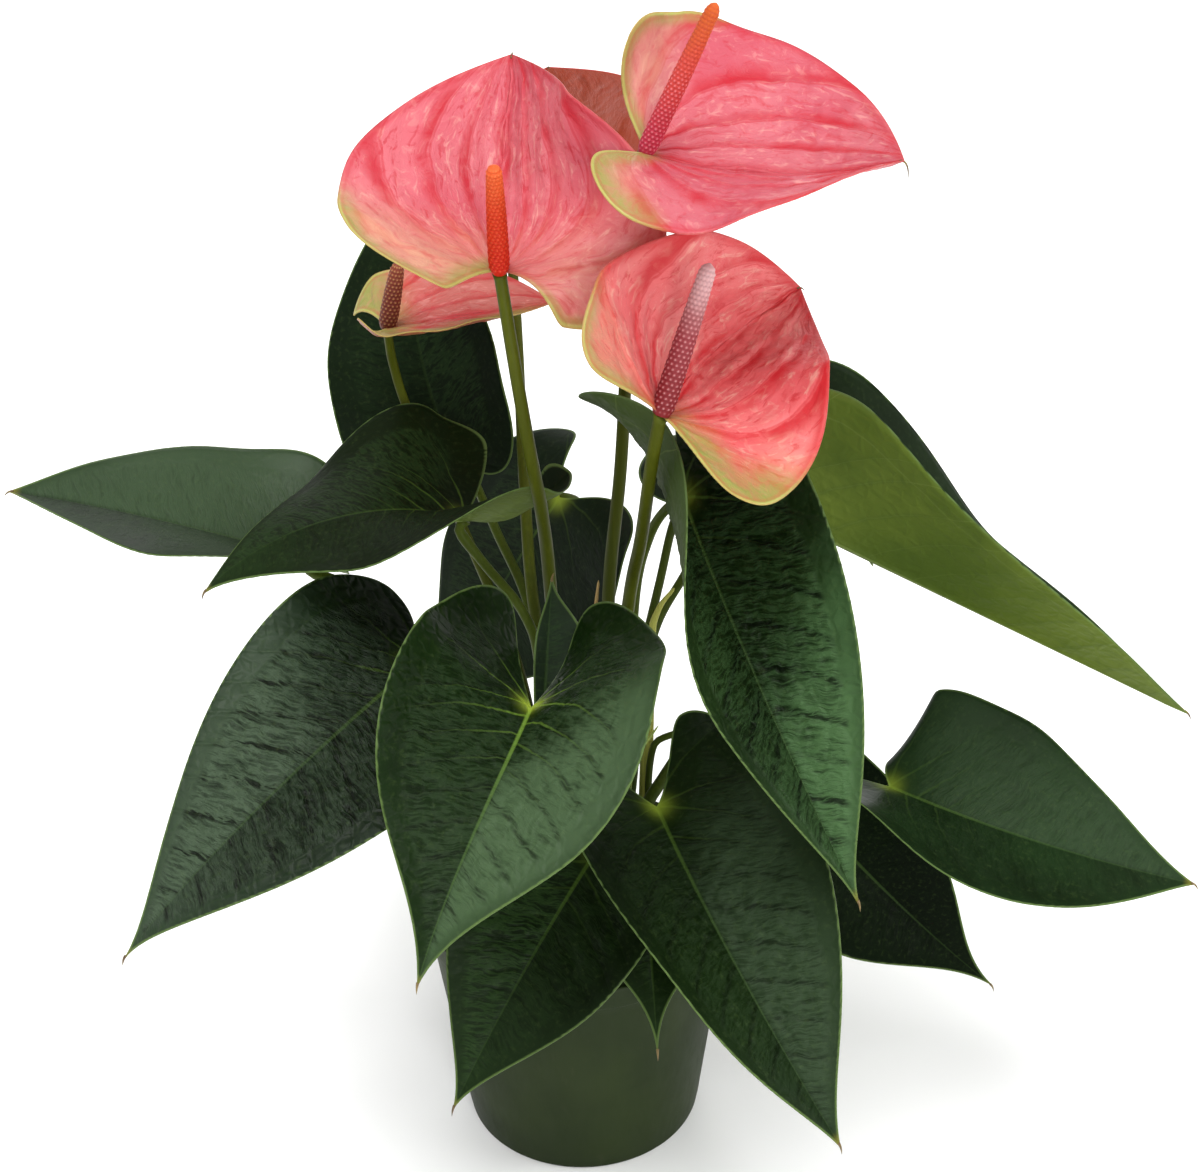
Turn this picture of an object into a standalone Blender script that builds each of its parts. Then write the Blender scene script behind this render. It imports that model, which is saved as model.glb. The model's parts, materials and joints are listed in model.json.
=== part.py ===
"""Anthurium in bloom in a plastic nursery pot.

Lengths are in metres and angles in degrees. The origin is at the middle of the pot's underside,
+Z is up and the front of the plant faces -Y.
"""
import math

import bmesh
import bpy
import numpy as np
from mathutils import Vector, noise

# Pot and soil
POT_HEIGHT = 0.105
POT_TOP_RADIUS = 0.060
POT_BASE_RADIUS = 0.0464
POT_WALL = 0.0015
POT_FLOOR = 0.002
RIM_DEPTH = 0.011
RIM_OUT = 0.0022
RIM_ROUND = 0.0008
LIP_ROUND = 0.0006
FOOT_ROUND = 0.0015
POT_SIDES = 36
SOIL_LEVEL = 0.095
SOIL_RINGS = 7
SOIL_ROUGHNESS = 0.0014
SOIL_GAP = 0.0003
HOLE_DEPTH = 0.012
HOLE_GAP = 0.0006
HOLE_CLEAR = 0.020

# Crown of short stem bases in the middle of the pot
CROWN_AT = (0.005, 0.020)
CROWN_RADIUS = 0.0052
CROWN_FOOT = 0.9
CROWN_TAPER = 0.35
CROWN_START = 0.002
CROWN_HEIGHT = 0.131
CROWN_RINGS = 9
CROWN_SIDES = 12

# Blades, stalks and spadices
BLADE_THICKNESS = 0.0008
JOIN_GAP = 0.0004
SPADIX_GAP = 0.0010
STALK_SIDES = 6
STALK_STEP = 0.0135
STALK_FOOT = 1.15
STALK_TOP = 0.9
STALK_MOUTH = 0.004
STALK_APPROACH = 0.005
STALK_SET_BACK = 0.001
SPADIX_SIDES = 12
SPADIX_ROW = 0.0034
SPADIX_TAPER = 0.28
FLORET_RISE = 0.00028
FLORET_DIP = 0.00020

# Facets of one half of a blade: rows along the midrib, rows round the lobe, columns across
ROWS_ALONG = 9
ROWS_LOBE = 4
COLUMNS = 4
CURVE_POINTS = 100

# One entry for each leaf. The two halves are named as seen on the upper face with the tip up.
# heading runs clockwise from +Y seen from above, rise is the slope of the midrib at the stalk,
# droop, swing and twist are its turn from the stalk to the tip. fold lifts a half from the midrib
# and curl bends it further towards its edge, with their own values at the base. lift bends a lobe
# up. widest, back and lobe are shares of the length and half width, tip and gap shape the ends.
LEAVES = {
    "leaf_front": dict(
        at=(-0.014, -0.062, 0.231), heading=-172, rise=13, roll=26,
        length=0.115, half_right=0.049, half_left=0.050, droop=95, swing=6, twist=23,
        fold_right=8, fold_left=12, curl_right=20, curl_left=16,
        base_fold_right=8, base_fold_left=55, base_curl_right=18, base_curl_left=-8,
        lift_right=29, lift_left=31, widest=0.14, back=0.38, lobe=0.56,
        tip_reach=0.40, tip_width=0.15, gap=0.38,
    ),
    "leaf_front_left": dict(
        at=(-0.054, -0.020, 0.223), heading=-153, rise=7, roll=22,
        length=0.155, half_right=0.048, half_left=0.046, droop=75, swing=21, twist=10,
        fold_right=2, fold_left=7, curl_right=-15, curl_left=0,
        base_fold_right=-7, base_fold_left=0, base_curl_right=40, base_curl_left=23,
        lift_right=-1, lift_left=-30, widest=0.16, back=0.18, lobe=0.58,
        tip_reach=0.21, tip_width=0.03, gap=0.50,
        back_left=0.08,
    ),
    "leaf_left": dict(
        at=(-0.037, 0.030, 0.252), heading=-119, rise=34, roll=16,
        length=0.107, half_right=0.058, half_left=0.047, droop=75, swing=0, twist=14,
        fold_right=-8, fold_left=-4, curl_right=-33, curl_left=20,
        base_fold_right=1, base_fold_left=50, base_curl_right=16, base_curl_left=8,
        lift_right=15, lift_left=46, widest=0.10, back=0.14, lobe=0.65,
        tip_reach=0.20, tip_width=0.15, gap=0.47,
        back_left=0.19,
    ),
    "leaf_far_left": dict(
        at=(-0.097, 0.052, 0.224), heading=-87, rise=20, roll=-1,
        length=0.115, half_right=0.046, half_left=0.045, droop=5, swing=-7, twist=-5,
        fold_right=15, fold_left=12, curl_right=-6, curl_left=4,
        base_fold_right=23, base_fold_left=25, base_curl_right=15, base_curl_left=18,
        lift_right=0, lift_left=0, widest=0.22, back=0.12, lobe=0.45,
        tip_reach=0.23, tip_width=0.31, gap=0.25,
    ),
    "leaf_back_left": dict(
        at=(-0.046, 0.100, 0.249), heading=-36, rise=52, roll=55,
        length=0.115, half_right=0.039, half_left=0.041, droop=23, swing=28, twist=-2,
        fold_right=12, fold_left=4, curl_right=10, curl_left=1,
        base_fold_right=12, base_fold_left=12, base_curl_right=10, base_curl_left=10,
        lift_right=0, lift_left=0, widest=0.20, back=0.18, lobe=0.45,
        tip_reach=0.21, tip_width=0.10, gap=0.25,
    ),
    "leaf_back_centre": dict(
        at=(-0.003, 0.108, 0.217), heading=-111, rise=-52, roll=19,
        length=0.097, half_right=0.044, half_left=0.054, droop=9, swing=2, twist=-1,
        fold_right=-1, fold_left=-2, curl_right=-1, curl_left=0,
        base_fold_right=-4, base_fold_left=2, base_curl_right=4, base_curl_left=10,
        lift_right=-24, lift_left=-10, widest=0.22, back=0.27, lobe=0.50,
        tip_reach=0.21, tip_width=0.27, gap=0.60,
        back_left=0.15,
        back_right=0.23,
    ),
    "leaf_right_hanging": dict(
        at=(0.040, -0.012, 0.282), heading=164, rise=-28, roll=-23,
        length=0.154, half_right=0.047, half_left=0.046, droop=43, swing=-8, twist=-12,
        fold_right=56, fold_left=18, curl_right=2, curl_left=20,
        base_fold_right=61, base_fold_left=16, base_curl_right=78, base_curl_left=13,
        lift_right=-50, lift_left=0, widest=0.17, back=0.29, lobe=0.47,
        tip_reach=0.20, tip_width=0.08, gap=0.25,
    ),
    "leaf_far_right": dict(
        at=(0.064, 0.020, 0.264), heading=104, rise=-24, roll=18,
        length=0.179, half_right=0.058, half_left=0.060, droop=0, swing=1, twist=-2,
        fold_right=41, fold_left=29, curl_right=-11, curl_left=-13,
        base_fold_right=62, base_fold_left=66, base_curl_right=9, base_curl_left=11,
        lift_right=0, lift_left=0, widest=0.14, back=0.12, lobe=0.46,
        tip_reach=0.20, tip_width=0.24, gap=0.25,
    ),
    "leaf_right_low": dict(
        at=(0.117, -0.010, 0.155), heading=133, rise=2, roll=-17,
        length=0.118, half_right=0.045, half_left=0.046, droop=28, swing=-30, twist=5,
        fold_right=14, fold_left=3, curl_right=15, curl_left=6,
        base_fold_right=34, base_fold_left=10, base_curl_right=26, base_curl_left=21,
        lift_right=0, lift_left=-42, widest=0.19, back=0.24, lobe=0.66,
        tip_reach=0.24, tip_width=0.23, gap=0.25,
        back_left=0.10,
    ),
    "leaf_right_shadow": dict(
        at=(0.091, 0.050, 0.105), heading=132, rise=-33, roll=-49,
        length=0.113, half_right=0.038, half_left=0.036, droop=32, swing=-5, twist=1,
        fold_right=14, fold_left=17, curl_right=11, curl_left=13,
        base_fold_right=12, base_fold_left=12, base_curl_right=10, base_curl_left=10,
        lift_right=0, lift_left=0, widest=0.20, back=0.28, lobe=0.45,
        tip_reach=0.38, tip_width=0.10, gap=0.25,
    ),
    "leaf_low_right": dict(
        at=(0.029, -0.038, 0.170), heading=165, rise=-9, roll=-12,
        length=0.141, half_right=0.045, half_left=0.047, droop=59, swing=-18, twist=-3,
        fold_right=42, fold_left=16, curl_right=13, curl_left=11,
        base_fold_right=30, base_fold_left=0, base_curl_right=18, base_curl_left=4,
        lift_right=-10, lift_left=18, widest=0.21, back=0.24, lobe=0.48,
        tip_reach=0.29, tip_width=0.23, gap=0.65,
        back_right=0.17,
    ),
    "leaf_low_left": dict(
        at=(0.008, -0.027, 0.144), heading=-144, rise=-23, roll=9,
        length=0.109, half_right=0.038, half_left=0.039, droop=27, swing=1, twist=-3,
        fold_right=12, fold_left=4, curl_right=10, curl_left=6,
        base_fold_right=12, base_fold_left=12, base_curl_right=10, base_curl_left=10,
        lift_right=-15, lift_left=-10, widest=0.20, back=0.14, lobe=0.45,
        tip_reach=0.24, tip_width=0.10, gap=0.25,
    ),
    "leaf_low_centre": dict(
        at=(0.025, -0.030, 0.130), heading=179, rise=-19, roll=2,
        length=0.066, half_right=0.023, half_left=0.023, droop=25, swing=-2, twist=0,
        fold_right=13, fold_left=11, curl_right=10, curl_left=9,
        base_fold_right=0, base_fold_left=12, base_curl_right=10, base_curl_left=10,
        lift_right=0, lift_left=0, widest=0.20, back=0.12, lobe=0.35,
        tip_reach=0.54, tip_width=0.10, gap=0.25,
    ),
    "leaf_young": dict(
        at=(-0.0105, -0.0085, 0.195), heading=50, rise=84, roll=-50,
        length=0.0555, half_right=0.014, half_left=0.0065, droop=-10, swing=0, twist=4,
        fold_right=8, fold_left=34, curl_right=14, curl_left=16,
        base_fold_right=30, base_fold_left=40, base_curl_right=18, base_curl_left=18,
        lift_right=0, lift_left=0, widest=0.42, back=0.08, lobe=0.42,
        tip_reach=0.40, tip_width=0.16, gap=0.30,
    ),
    "leaf_back_right": dict(
        at=(0.060, 0.072, 0.232), heading=52, rise=-8, roll=6,
        length=0.098, half_right=0.040, half_left=0.040, droop=55, swing=8, twist=6,
        fold_right=12, fold_left=12, curl_right=12, curl_left=12,
        base_fold_right=20, base_fold_left=20, base_curl_right=12, base_curl_left=12,
        lift_right=10, lift_left=10, widest=0.18, back=0.26, lobe=0.45,
        tip_reach=0.30, tip_width=0.20, gap=0.30,
    ),
}

# Small or mostly covered leaves that keep fewer facets across
PLAIN_LEAVES = ("leaf_young", "leaf_low_centre", "leaf_right_shadow", "leaf_back_right")

# Number of waves along a blade and their height at its edge, then where each half's waves start
LEAF_WAVE = (2.4, 0.0013)
SPATHE_WAVE = (2.0, 0.0010)
WAVE_START = {"right": 0.4, "left": 1.7}
WAVE_FADE = 0.3
BASE_SHARE = 0.55

# One entry for each bloom's spathe, in the same terms as the leaves
SPATHES = {
    "bloom_left": dict(
        at=(-0.020, 0.004, 0.361), heading=0, rise=18, roll=8,
        length=0.089, half_right=0.057, half_left=0.057, droop=-32, swing=13, twist=-5,
        fold_right=39, fold_left=18, curl_right=28, curl_left=20,
        base_fold_right=8, base_fold_left=34, base_curl_right=-20, base_curl_left=0,
        lift_right=-29, lift_left=7, widest=0.12, back=0.24, lobe=0.38,
        tip_reach=0.20, tip_width=0.60, gap=0.77,
    ),
    "bloom_top": dict(
        at=(0.029, 0.014, 0.397), heading=96, rise=-17, roll=-6,
        length=0.087, half_right=0.059, half_left=0.059, droop=-40, swing=17, twist=-6,
        fold_right=19, fold_left=22, curl_right=-23, curl_left=8,
        base_fold_right=21, base_fold_left=31, base_curl_right=-37, base_curl_left=6,
        lift_right=3, lift_left=25, widest=0.25, back=0.20, lobe=0.55,
        tip_reach=0.20, tip_width=0.60, gap=0.54,
    ),
    "bloom_right": dict(
        at=(0.031, -0.047, 0.332), heading=16, rise=-2, roll=-40,
        length=0.091, half_right=0.050, half_left=0.050, droop=-40, swing=17, twist=5,
        fold_right=37, fold_left=35, curl_right=35, curl_left=19,
        base_fold_right=24, base_fold_left=26, base_curl_right=-24, base_curl_left=-4,
        lift_right=-2, lift_left=-8, widest=0.17, back=0.29, lobe=0.61,
        tip_reach=0.20, tip_width=0.60, gap=0.72,
    ),
    "bloom_small": dict(
        at=(-0.065, 0.082, 0.306), heading=82, rise=3, roll=0,
        length=0.063, half_right=0.031, half_left=0.031, droop=-5, swing=6, twist=2,
        fold_right=16, fold_left=16, curl_right=11, curl_left=12,
        base_fold_right=15, base_fold_left=13, base_curl_right=6, base_curl_left=12,
        lift_right=23, lift_left=-22, widest=0.20, back=0.27, lobe=0.60,
        tip_reach=0.21, tip_width=0.45, gap=1.00,
        back_left=0.18,
        back_right=0.17,
    ),
    "bloom_turned": dict(
        at=(-0.020, 0.140, 0.326), heading=146, rise=60, roll=25,
        length=0.083, half_right=0.042, half_left=0.063, droop=4, swing=8, twist=5,
        fold_right=0, fold_left=15, curl_right=5, curl_left=14,
        base_fold_right=25, base_fold_left=11, base_curl_right=36, base_curl_left=8,
        lift_right=1, lift_left=0, widest=0.23, back=0.30, lobe=0.50,
        tip_reach=0.24, tip_width=0.56, gap=0.40,
        back_right=0.15,
    ),
}

# Route of each stalk: where it leaves the soil, then points it passes through
STALKS = {
    "leaf_front": ((-0.010, -0.004), [(-0.013, -0.004, 0.155), (-0.016, -0.014, 0.185),
                   (-0.014, -0.042, 0.214)], 0.0019),
    "leaf_front_left": ((-0.020, 0.003), [(-0.025, 0.002, 0.150), (-0.040, -0.010, 0.195)], 0.0019),
    "leaf_left": ((-0.013, 0.006), [(-0.013, 0.008, 0.150), (-0.012, 0.010, 0.200),
                  (-0.017, 0.014, 0.221), (-0.031, 0.025, 0.236)], 0.0019),
    "leaf_far_left": ((-0.021, 0.018), [(-0.028, 0.030, 0.150), (-0.050, 0.042, 0.186),
                      (-0.082, 0.051, 0.211)], 0.0019),
    "leaf_back_left": ((-0.010, 0.037), [(-0.011, 0.044, 0.160), (-0.016, 0.058, 0.197),
                       (-0.028, 0.082, 0.217), (-0.038, 0.104, 0.232)], 0.0019),
    "leaf_back_centre": ((0.007, 0.043), [(0.009, 0.070, 0.140), (0.010, 0.102, 0.185),
                         (0.006, 0.116, 0.206)], 0.0019),
    "leaf_right_hanging": ((0.018, 0.017), [(0.021, 0.016, 0.170), (0.024, 0.013, 0.228),
                           (0.029, 0.008, 0.255), (0.035, 0.000, 0.271)], 0.0019),
    "leaf_far_right": ((0.018, 0.026), [(0.024, 0.031, 0.170), (0.034, 0.033, 0.222),
                       (0.041, 0.035, 0.250), (0.052, 0.028, 0.262)], 0.0017),
    "leaf_right_low": ((0.028, 0.017), [(0.029, 0.020, 0.147), (0.036, 0.020, 0.160),
                       (0.060, 0.016, 0.162), (0.095, 0.004, 0.143)], 0.0013),
    "leaf_right_shadow": ((0.022, 0.004), [(0.025, 0.005, 0.132), (0.034, 0.010, 0.148),
                          (0.050, 0.040, 0.150), (0.062, 0.072, 0.128), (0.086, 0.076, 0.101)], 0.0022),
    "leaf_low_right": ((0.027, -0.005), [(0.030, -0.010, 0.135), (0.031, -0.018, 0.152)], 0.0019),
    "leaf_low_left": ((-0.002, -0.011), [(0.001, -0.017, 0.125)], 0.0019),
    "leaf_low_centre": ((0.015, -0.014), [(0.022, -0.023, 0.112)], 0.0015),
    "leaf_young": ((0.002, 0.007), [(-0.001, 0.003, 0.145), (-0.006, -0.005, 0.172)], 0.0015),
    "leaf_back_right": ((0.020, 0.038), [(0.026, 0.045, 0.150), (0.032, 0.046, 0.190),
                        (0.044, 0.052, 0.212)], 0.0018),
    "bloom_left": ((-0.006, 0.017), [(-0.005, 0.016, 0.170), (-0.007, 0.010, 0.237),
                   (-0.009, 0.000, 0.272), (-0.012, -0.005, 0.297), (-0.016, -0.005, 0.330)], 0.0024),
    "bloom_top": ((0.012, 0.031), [(0.013, 0.031, 0.170), (0.015, 0.030, 0.224),
                  (0.020, 0.030, 0.274), (0.024, 0.024, 0.345)], 0.0024),
    "bloom_right": ((0.012, 0.009), [(0.015, 0.004, 0.170), (0.021, -0.006, 0.237),
                    (0.025, -0.022, 0.272), (0.028, -0.040, 0.310)], 0.0024),
    "bloom_small": ((-0.010, 0.027), [(-0.020, 0.050, 0.170), (-0.042, 0.074, 0.228),
                    (-0.059, 0.088, 0.266), (-0.064, 0.087, 0.288)], 0.0019),
    "bloom_turned": ((0.000, 0.030), [(-0.007, 0.034, 0.160), (-0.014, 0.046, 0.207),
                     (-0.016, 0.070, 0.246), (-0.017, 0.104, 0.286), (-0.018, 0.122, 0.306)], 0.0022),
}

# Leaf sheaths, routed like the stalks, with the radius at each point from the soil up
SHEATHS = {
    "sheath_olive": ((0.025, 0.024), [(0.028, 0.026, 0.150), (0.030, 0.028, 0.197), (0.033, 0.028, 0.212),
                     (0.039, 0.027, 0.222)], (0.0016, 0.0020, 0.0026, 0.0022, 0.0006)),
    "sheath_pink": ((0.006, 0.032), [(0.008, 0.034, 0.150), (0.009, 0.034, 0.200), (0.011, 0.034, 0.222)],
                    (0.0016, 0.0016, 0.0018, 0.0004)),
    "sheath_thin": ((0.019, 0.011), [(0.020, 0.010, 0.140), (0.024, 0.010, 0.158), (0.032, 0.010, 0.172)],
                    (0.0014, 0.0014, 0.0012, 0.0003)),
    "sheath_dry": ((0.006, -0.003), [(0.011, -0.001, 0.122), (0.017, -0.003, 0.140), (0.020, -0.003, 0.152)],
                   (0.0020, 0.0026, 0.0024, 0.0010)),
}

# Spadix of each bloom: length, radius, direction of its axis
SPADICES = {
    "bloom_left": (0.044, 0.0034, (0.00, -0.32, 0.95)),
    "bloom_top": (0.054, 0.0032, (0.42, -0.03, 0.91)),
    "bloom_right": (0.050, 0.0036, (0.32, 0.23, 0.92)),
    "bloom_small": (0.026, 0.0034, (0.22, -0.02, 0.97)),
    "bloom_turned": (0.042, 0.0034, (-0.05, 0.60, 0.80)),
}

# Principled colours, roughness and metallic value
POT_GREEN = ((0.030, 0.037, 0.016), 0.45)
SOIL_BROWN = ((0.035, 0.024, 0.015), 0.95)
CROWN_BROWN = ((0.090, 0.075, 0.030), 0.80)
DRY_GREY = ((0.180, 0.160, 0.130), 0.85)
SHEATH_OLIVE = ((0.260, 0.250, 0.050), 0.50)
SHEATH_PINK = ((0.400, 0.260, 0.120), 0.50)
LEAF_GREEN = ((0.012, 0.048, 0.016), 0.30)
STALK_GREEN = ((0.090, 0.140, 0.022), 0.40)
SPATHE_PINK = ((0.800, 0.160, 0.190), 0.30)
SPADIX_COLOURS = {
    "bloom_left": ((0.720, 0.130, 0.040), 0.55),
    "bloom_top": ((0.480, 0.130, 0.110), 0.55),
    "bloom_right": ((0.330, 0.100, 0.110), 0.55),
    "bloom_small": ((0.200, 0.055, 0.040), 0.55),
    "bloom_turned": ((0.480, 0.130, 0.110), 0.55),
}


def material(name, look):
    mat = bpy.data.materials.new(name)
    mat.use_nodes = True
    shader = mat.node_tree.nodes["Principled BSDF"]
    shader.inputs["Base Color"].default_value = (*look[0], 1.0)
    shader.inputs["Roughness"].default_value = look[1]
    shader.inputs["Metallic"].default_value = 0.0
    return mat


def add_object(name, data, look, smooth=True):
    """Link mesh or curve data as one node with its own material."""
    obj = bpy.data.objects.new(name, data)
    bpy.context.collection.objects.link(obj)
    data.materials.append(material(name + "_mat", look))
    if smooth and obj.type == "MESH":
        for face in data.polygons:
            face.use_smooth = True
    return obj


def mesh_from(bm, name):
    bmesh.ops.recalc_face_normals(bm, faces=bm.faces)
    mesh = bpy.data.meshes.new(name)
    bm.to_mesh(mesh)
    bm.free()
    return mesh


def bezier(p0, p1, p2, p3):
    t = np.linspace(0, 1, CURVE_POINTS)[:, None]
    return (1 - t) ** 3 * p0 + 3 * (1 - t) ** 2 * t * p1 + 3 * (1 - t) * t * t * p2 + t ** 3 * p3


def run_lengths(line):
    return np.concatenate([[0], np.cumsum(np.linalg.norm(np.diff(line, axis=0), axis=1))])


def at_length(line, where):
    run = run_lengths(line)
    return np.stack([np.interp(where, run, line[:, 0]), np.interp(where, run, line[:, 1])], -1)


def lobe_back(shape, side):
    """How far a lobe reaches behind the stalk; back_right or back_left sets one apart from the other."""
    share = shape.get("back_right" if side > 0 else "back_left", shape["back"])
    return share * shape["length"]


def outline(shape, side, rows_along, rows_lobe):
    """Inner edge (midrib, then the notch) and outer edge of one half, flat, in matching rows."""
    length = shape["length"]
    half = shape["half_right"] if side > 0 else shape["half_left"]
    wide_y = shape["widest"] * length
    back = lobe_back(shape, side)
    lobe_x = shape["lobe"] * half
    reach = length - wide_y
    tip = np.array([0.0, length])
    wide = np.array([half, wide_y])
    end = np.array([lobe_x, -back])
    upper = bezier(tip, np.array([shape["tip_width"] * half, length - shape["tip_reach"] * reach]),
                   np.array([half, wide_y + 0.50 * reach]), wide)
    lower = bezier(wide, np.array([half, wide_y - 0.55 * (wide_y + back)]),
                   np.array([lobe_x + 0.55 * (half - lobe_x), -back]), end)
    edge = np.vstack([upper, lower[1:]])
    run = run_lengths(edge)
    facing = np.where((np.arange(len(edge)) >= CURVE_POINTS) & (edge[:, 1] <= -0.35 * back))[0][0]
    along = 0.5 * (1 - np.cos(np.linspace(0, math.pi / 2, rows_along + 1)))
    along += 0.5 * np.linspace(0, 1, rows_along + 1)
    around = 0.5 * np.sin(np.linspace(0, math.pi / 2, rows_lobe + 1))
    around += 0.5 * np.linspace(0, 1, rows_lobe + 1)
    where = np.concatenate([run[facing] * along, run[facing] + (run[-1] - run[facing]) * around[1:]])
    outer = at_length(edge, where)
    rib = np.stack([0 * along, length * (1 - along)], -1)
    notch = bezier(np.array([0.0, 0.0]), np.array([0.3 * shape["gap"] * half, -0.30 * back]),
                   np.array([shape["gap"] * lobe_x, -back]), end)
    inner = np.vstack([rib, at_length(notch, run_lengths(notch)[-1] * around[1:])])
    return inner, outer


def start_frame(shape):
    """Unit vectors at the stalk: along the midrib, to the right half and up from the upper face."""
    heading, rise, roll = (math.radians(shape[key]) for key in ("heading", "rise", "roll"))
    along = np.array([math.cos(rise) * math.sin(heading), math.cos(rise) * math.cos(heading), math.sin(rise)])
    up = np.array([-math.sin(rise) * math.sin(heading), -math.sin(rise) * math.cos(heading), math.cos(rise)])
    right = np.cross(along, up)
    return (along, math.cos(roll) * right + math.sin(roll) * up,
            math.cos(roll) * up - math.sin(roll) * right)


def turned(vector, axis, angle):
    return (vector * math.cos(angle) + np.cross(axis, vector) * math.sin(angle)
            + axis * np.dot(axis, vector) * (1 - math.cos(angle)))


def walk(stations, rates, place, frame):
    """Carry a frame along the midrib from station to station."""
    found = [(place, *frame)]
    along, right, up = frame
    for first, second in zip(stations[:-1], stations[1:]):
        step = second - first
        spin = -rates[0] * right - rates[1] * up + rates[2] * along
        size = np.linalg.norm(spin)
        ahead = along
        if size > 1e-9:
            axis = spin / size * np.sign(step)
            angle = size * abs(step)
            ahead, right, up = (turned(v, axis, angle) for v in (along, right, up))
        place = place + step * (along + ahead) / 2
        along = ahead
        found.append((place, along, right, up))
    return found


def spine(shape):
    length = shape["length"]
    back = shape["back"] * length * 1.02
    droop, swing, twist = (math.radians(shape[key]) / length for key in ("droop", "swing", "twist"))
    start = np.array(shape["at"], float)
    frame = start_frame(shape)
    ahead = np.linspace(0, length, 21)
    behind = np.linspace(0, -back, 8)
    forward = walk(ahead, (droop, swing, twist), start, frame)
    rearward = walk(behind, (0.5 * droop, 0.0, 0.0), start, frame)
    found = rearward[::-1][:-1] + forward
    stations = np.concatenate([behind[::-1][:-1], ahead])
    return stations, [np.array([row[i] for row in found]) for i in range(4)]


def placed(shape, flat, side, wave, line):
    """Bend flat points (distance from the midrib, distance along it) of one half into space."""
    stations, frames = line
    x, y = flat[:, 0], flat[:, 1]
    point, _, right, up = (np.stack([np.interp(y, stations, f[:, i]) for i in range(3)], -1) for f in frames)
    hand = "right" if side > 0 else "left"
    half = shape["half_" + hand]
    near = np.clip(1 - y / (BASE_SHARE * shape["length"]), 0, 1)
    near = near * near * (3 - 2 * near)
    rear = np.clip(-y / lobe_back(shape, side), 0, 1)
    fold = shape["fold_" + hand] + (shape["base_fold_" + hand] - shape["fold_" + hand]) * near
    fold = np.radians(fold + shape["lift_" + hand] * rear * rear)
    curl = shape["curl_" + hand] + (shape["base_curl_" + hand] - shape["curl_" + hand]) * near
    curl = np.radians(np.where(np.abs(curl) < 0.05, 0.05, curl)) / half
    end = fold + curl * x
    across = (np.sin(end) - np.sin(fold)) / curl
    height = (np.cos(fold) - np.cos(end)) / curl
    count, size = wave
    ripple = np.sin(2 * math.pi * count * y / shape["length"] + WAVE_START[hand])
    fade = np.clip((shape["length"] - y) / (WAVE_FADE * shape["length"]), 0, 1)
    height = height + size * (x / half) ** 2 * ripple * fade
    return point + side * across[:, None] * right + height[:, None] * up


def blade(name, shape, wave, look, columns):
    """Heart-shaped blade: two grids bent along the midrib, joined there, split in triangles, thickened."""
    line = spine(shape)
    rows = ROWS_ALONG + ROWS_LOBE
    bm = bmesh.new()
    for side in (1, -1):
        inner, outer = outline(shape, side, ROWS_ALONG, ROWS_LOBE)
        made = bmesh.ops.create_grid(bm, x_segments=columns, y_segments=rows, size=0.5)
        for vert in made["verts"]:
            share = vert.co.x + 0.5
            row = round((vert.co.y + 0.5) * rows)
            flat = inner[row] + (outer[row] - inner[row]) * share
            vert.co = placed(shape, flat[None], side, wave, line)[0]
        if side > 0:
            bmesh.ops.reverse_faces(bm, faces=list({f for v in made["verts"] for f in v.link_faces}))
    bmesh.ops.remove_doubles(bm, verts=bm.verts, dist=0.00002)
    bmesh.ops.triangulate(bm, faces=bm.faces)
    mesh = bpy.data.meshes.new(name)
    bm.to_mesh(mesh)
    bm.free()
    obj = add_object(name, mesh, look)
    thick = obj.modifiers.new("Thickness", "SOLIDIFY")
    thick.thickness = BLADE_THICKNESS
    thick.offset = -1.0
    return obj


def smooth_line(points, step):
    """Evenly spaced points on a smooth curve through the given ones."""
    p = [np.array(q, float) for q in points]
    p = [2 * p[0] - p[1]] + p + [2 * p[-1] - p[-2]]
    dense = []
    for a, b, c, d in zip(p[:-3], p[1:-2], p[2:-1], p[3:]):
        for t in np.linspace(0, 1, 24, endpoint=False):
            dense.append(0.5 * (2 * b + (c - a) * t + (2 * a - 5 * b + 4 * c - d) * t * t
                                + (3 * b - a - 3 * c + d) * t ** 3))
    dense.append(p[-2])
    dense = np.array(dense)
    run = run_lengths(dense)
    count = max(5, round(run[-1] / step))
    where = np.linspace(0, run[-1], count + 1)
    return np.stack([np.interp(where, run, dense[:, i]) for i in range(3)], -1)


def tube(name, points, radii, look):
    """Round stalk: a bevelled curve with filled caps, its radius blended along the list."""
    curve = bpy.data.curves.new(name, "CURVE")
    curve.dimensions = "3D"
    curve.bevel_depth = 1.0
    curve.bevel_resolution = STALK_SIDES // 2 - 2
    curve.use_fill_caps = True
    spline = curve.splines.new("POLY")
    spline.points.add(len(points) - 1)
    share = np.linspace(0, len(radii) - 1, len(points))
    for point, spot, size in zip(spline.points, points, np.interp(share, range(len(radii)), radii)):
        point.co = (*spot, 1.0)
        point.radius = size
    spline.use_smooth = True
    return add_object(name, curve, look)


def stalk_points(name, shape):
    """Straight up out of the hole, through the route, then square onto the underside of the blade."""
    (base_x, base_y), route, radius = STALKS[name]
    along, right, up = start_frame(shape)
    join = np.array(shape["at"]) - up * (BLADE_THICKNESS + JOIN_GAP)
    bottom = (base_x, base_y, SOIL_LEVEL - HOLE_DEPTH + HOLE_GAP)
    mouth = (base_x, base_y, SOIL_LEVEL + STALK_MOUTH)
    points = [mouth] + list(route) + [join - up * STALK_APPROACH - along * STALK_SET_BACK]
    line = smooth_line(points, STALK_STEP)
    return [bottom] + [tuple(p) for p in line] + [tuple(join)]


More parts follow.
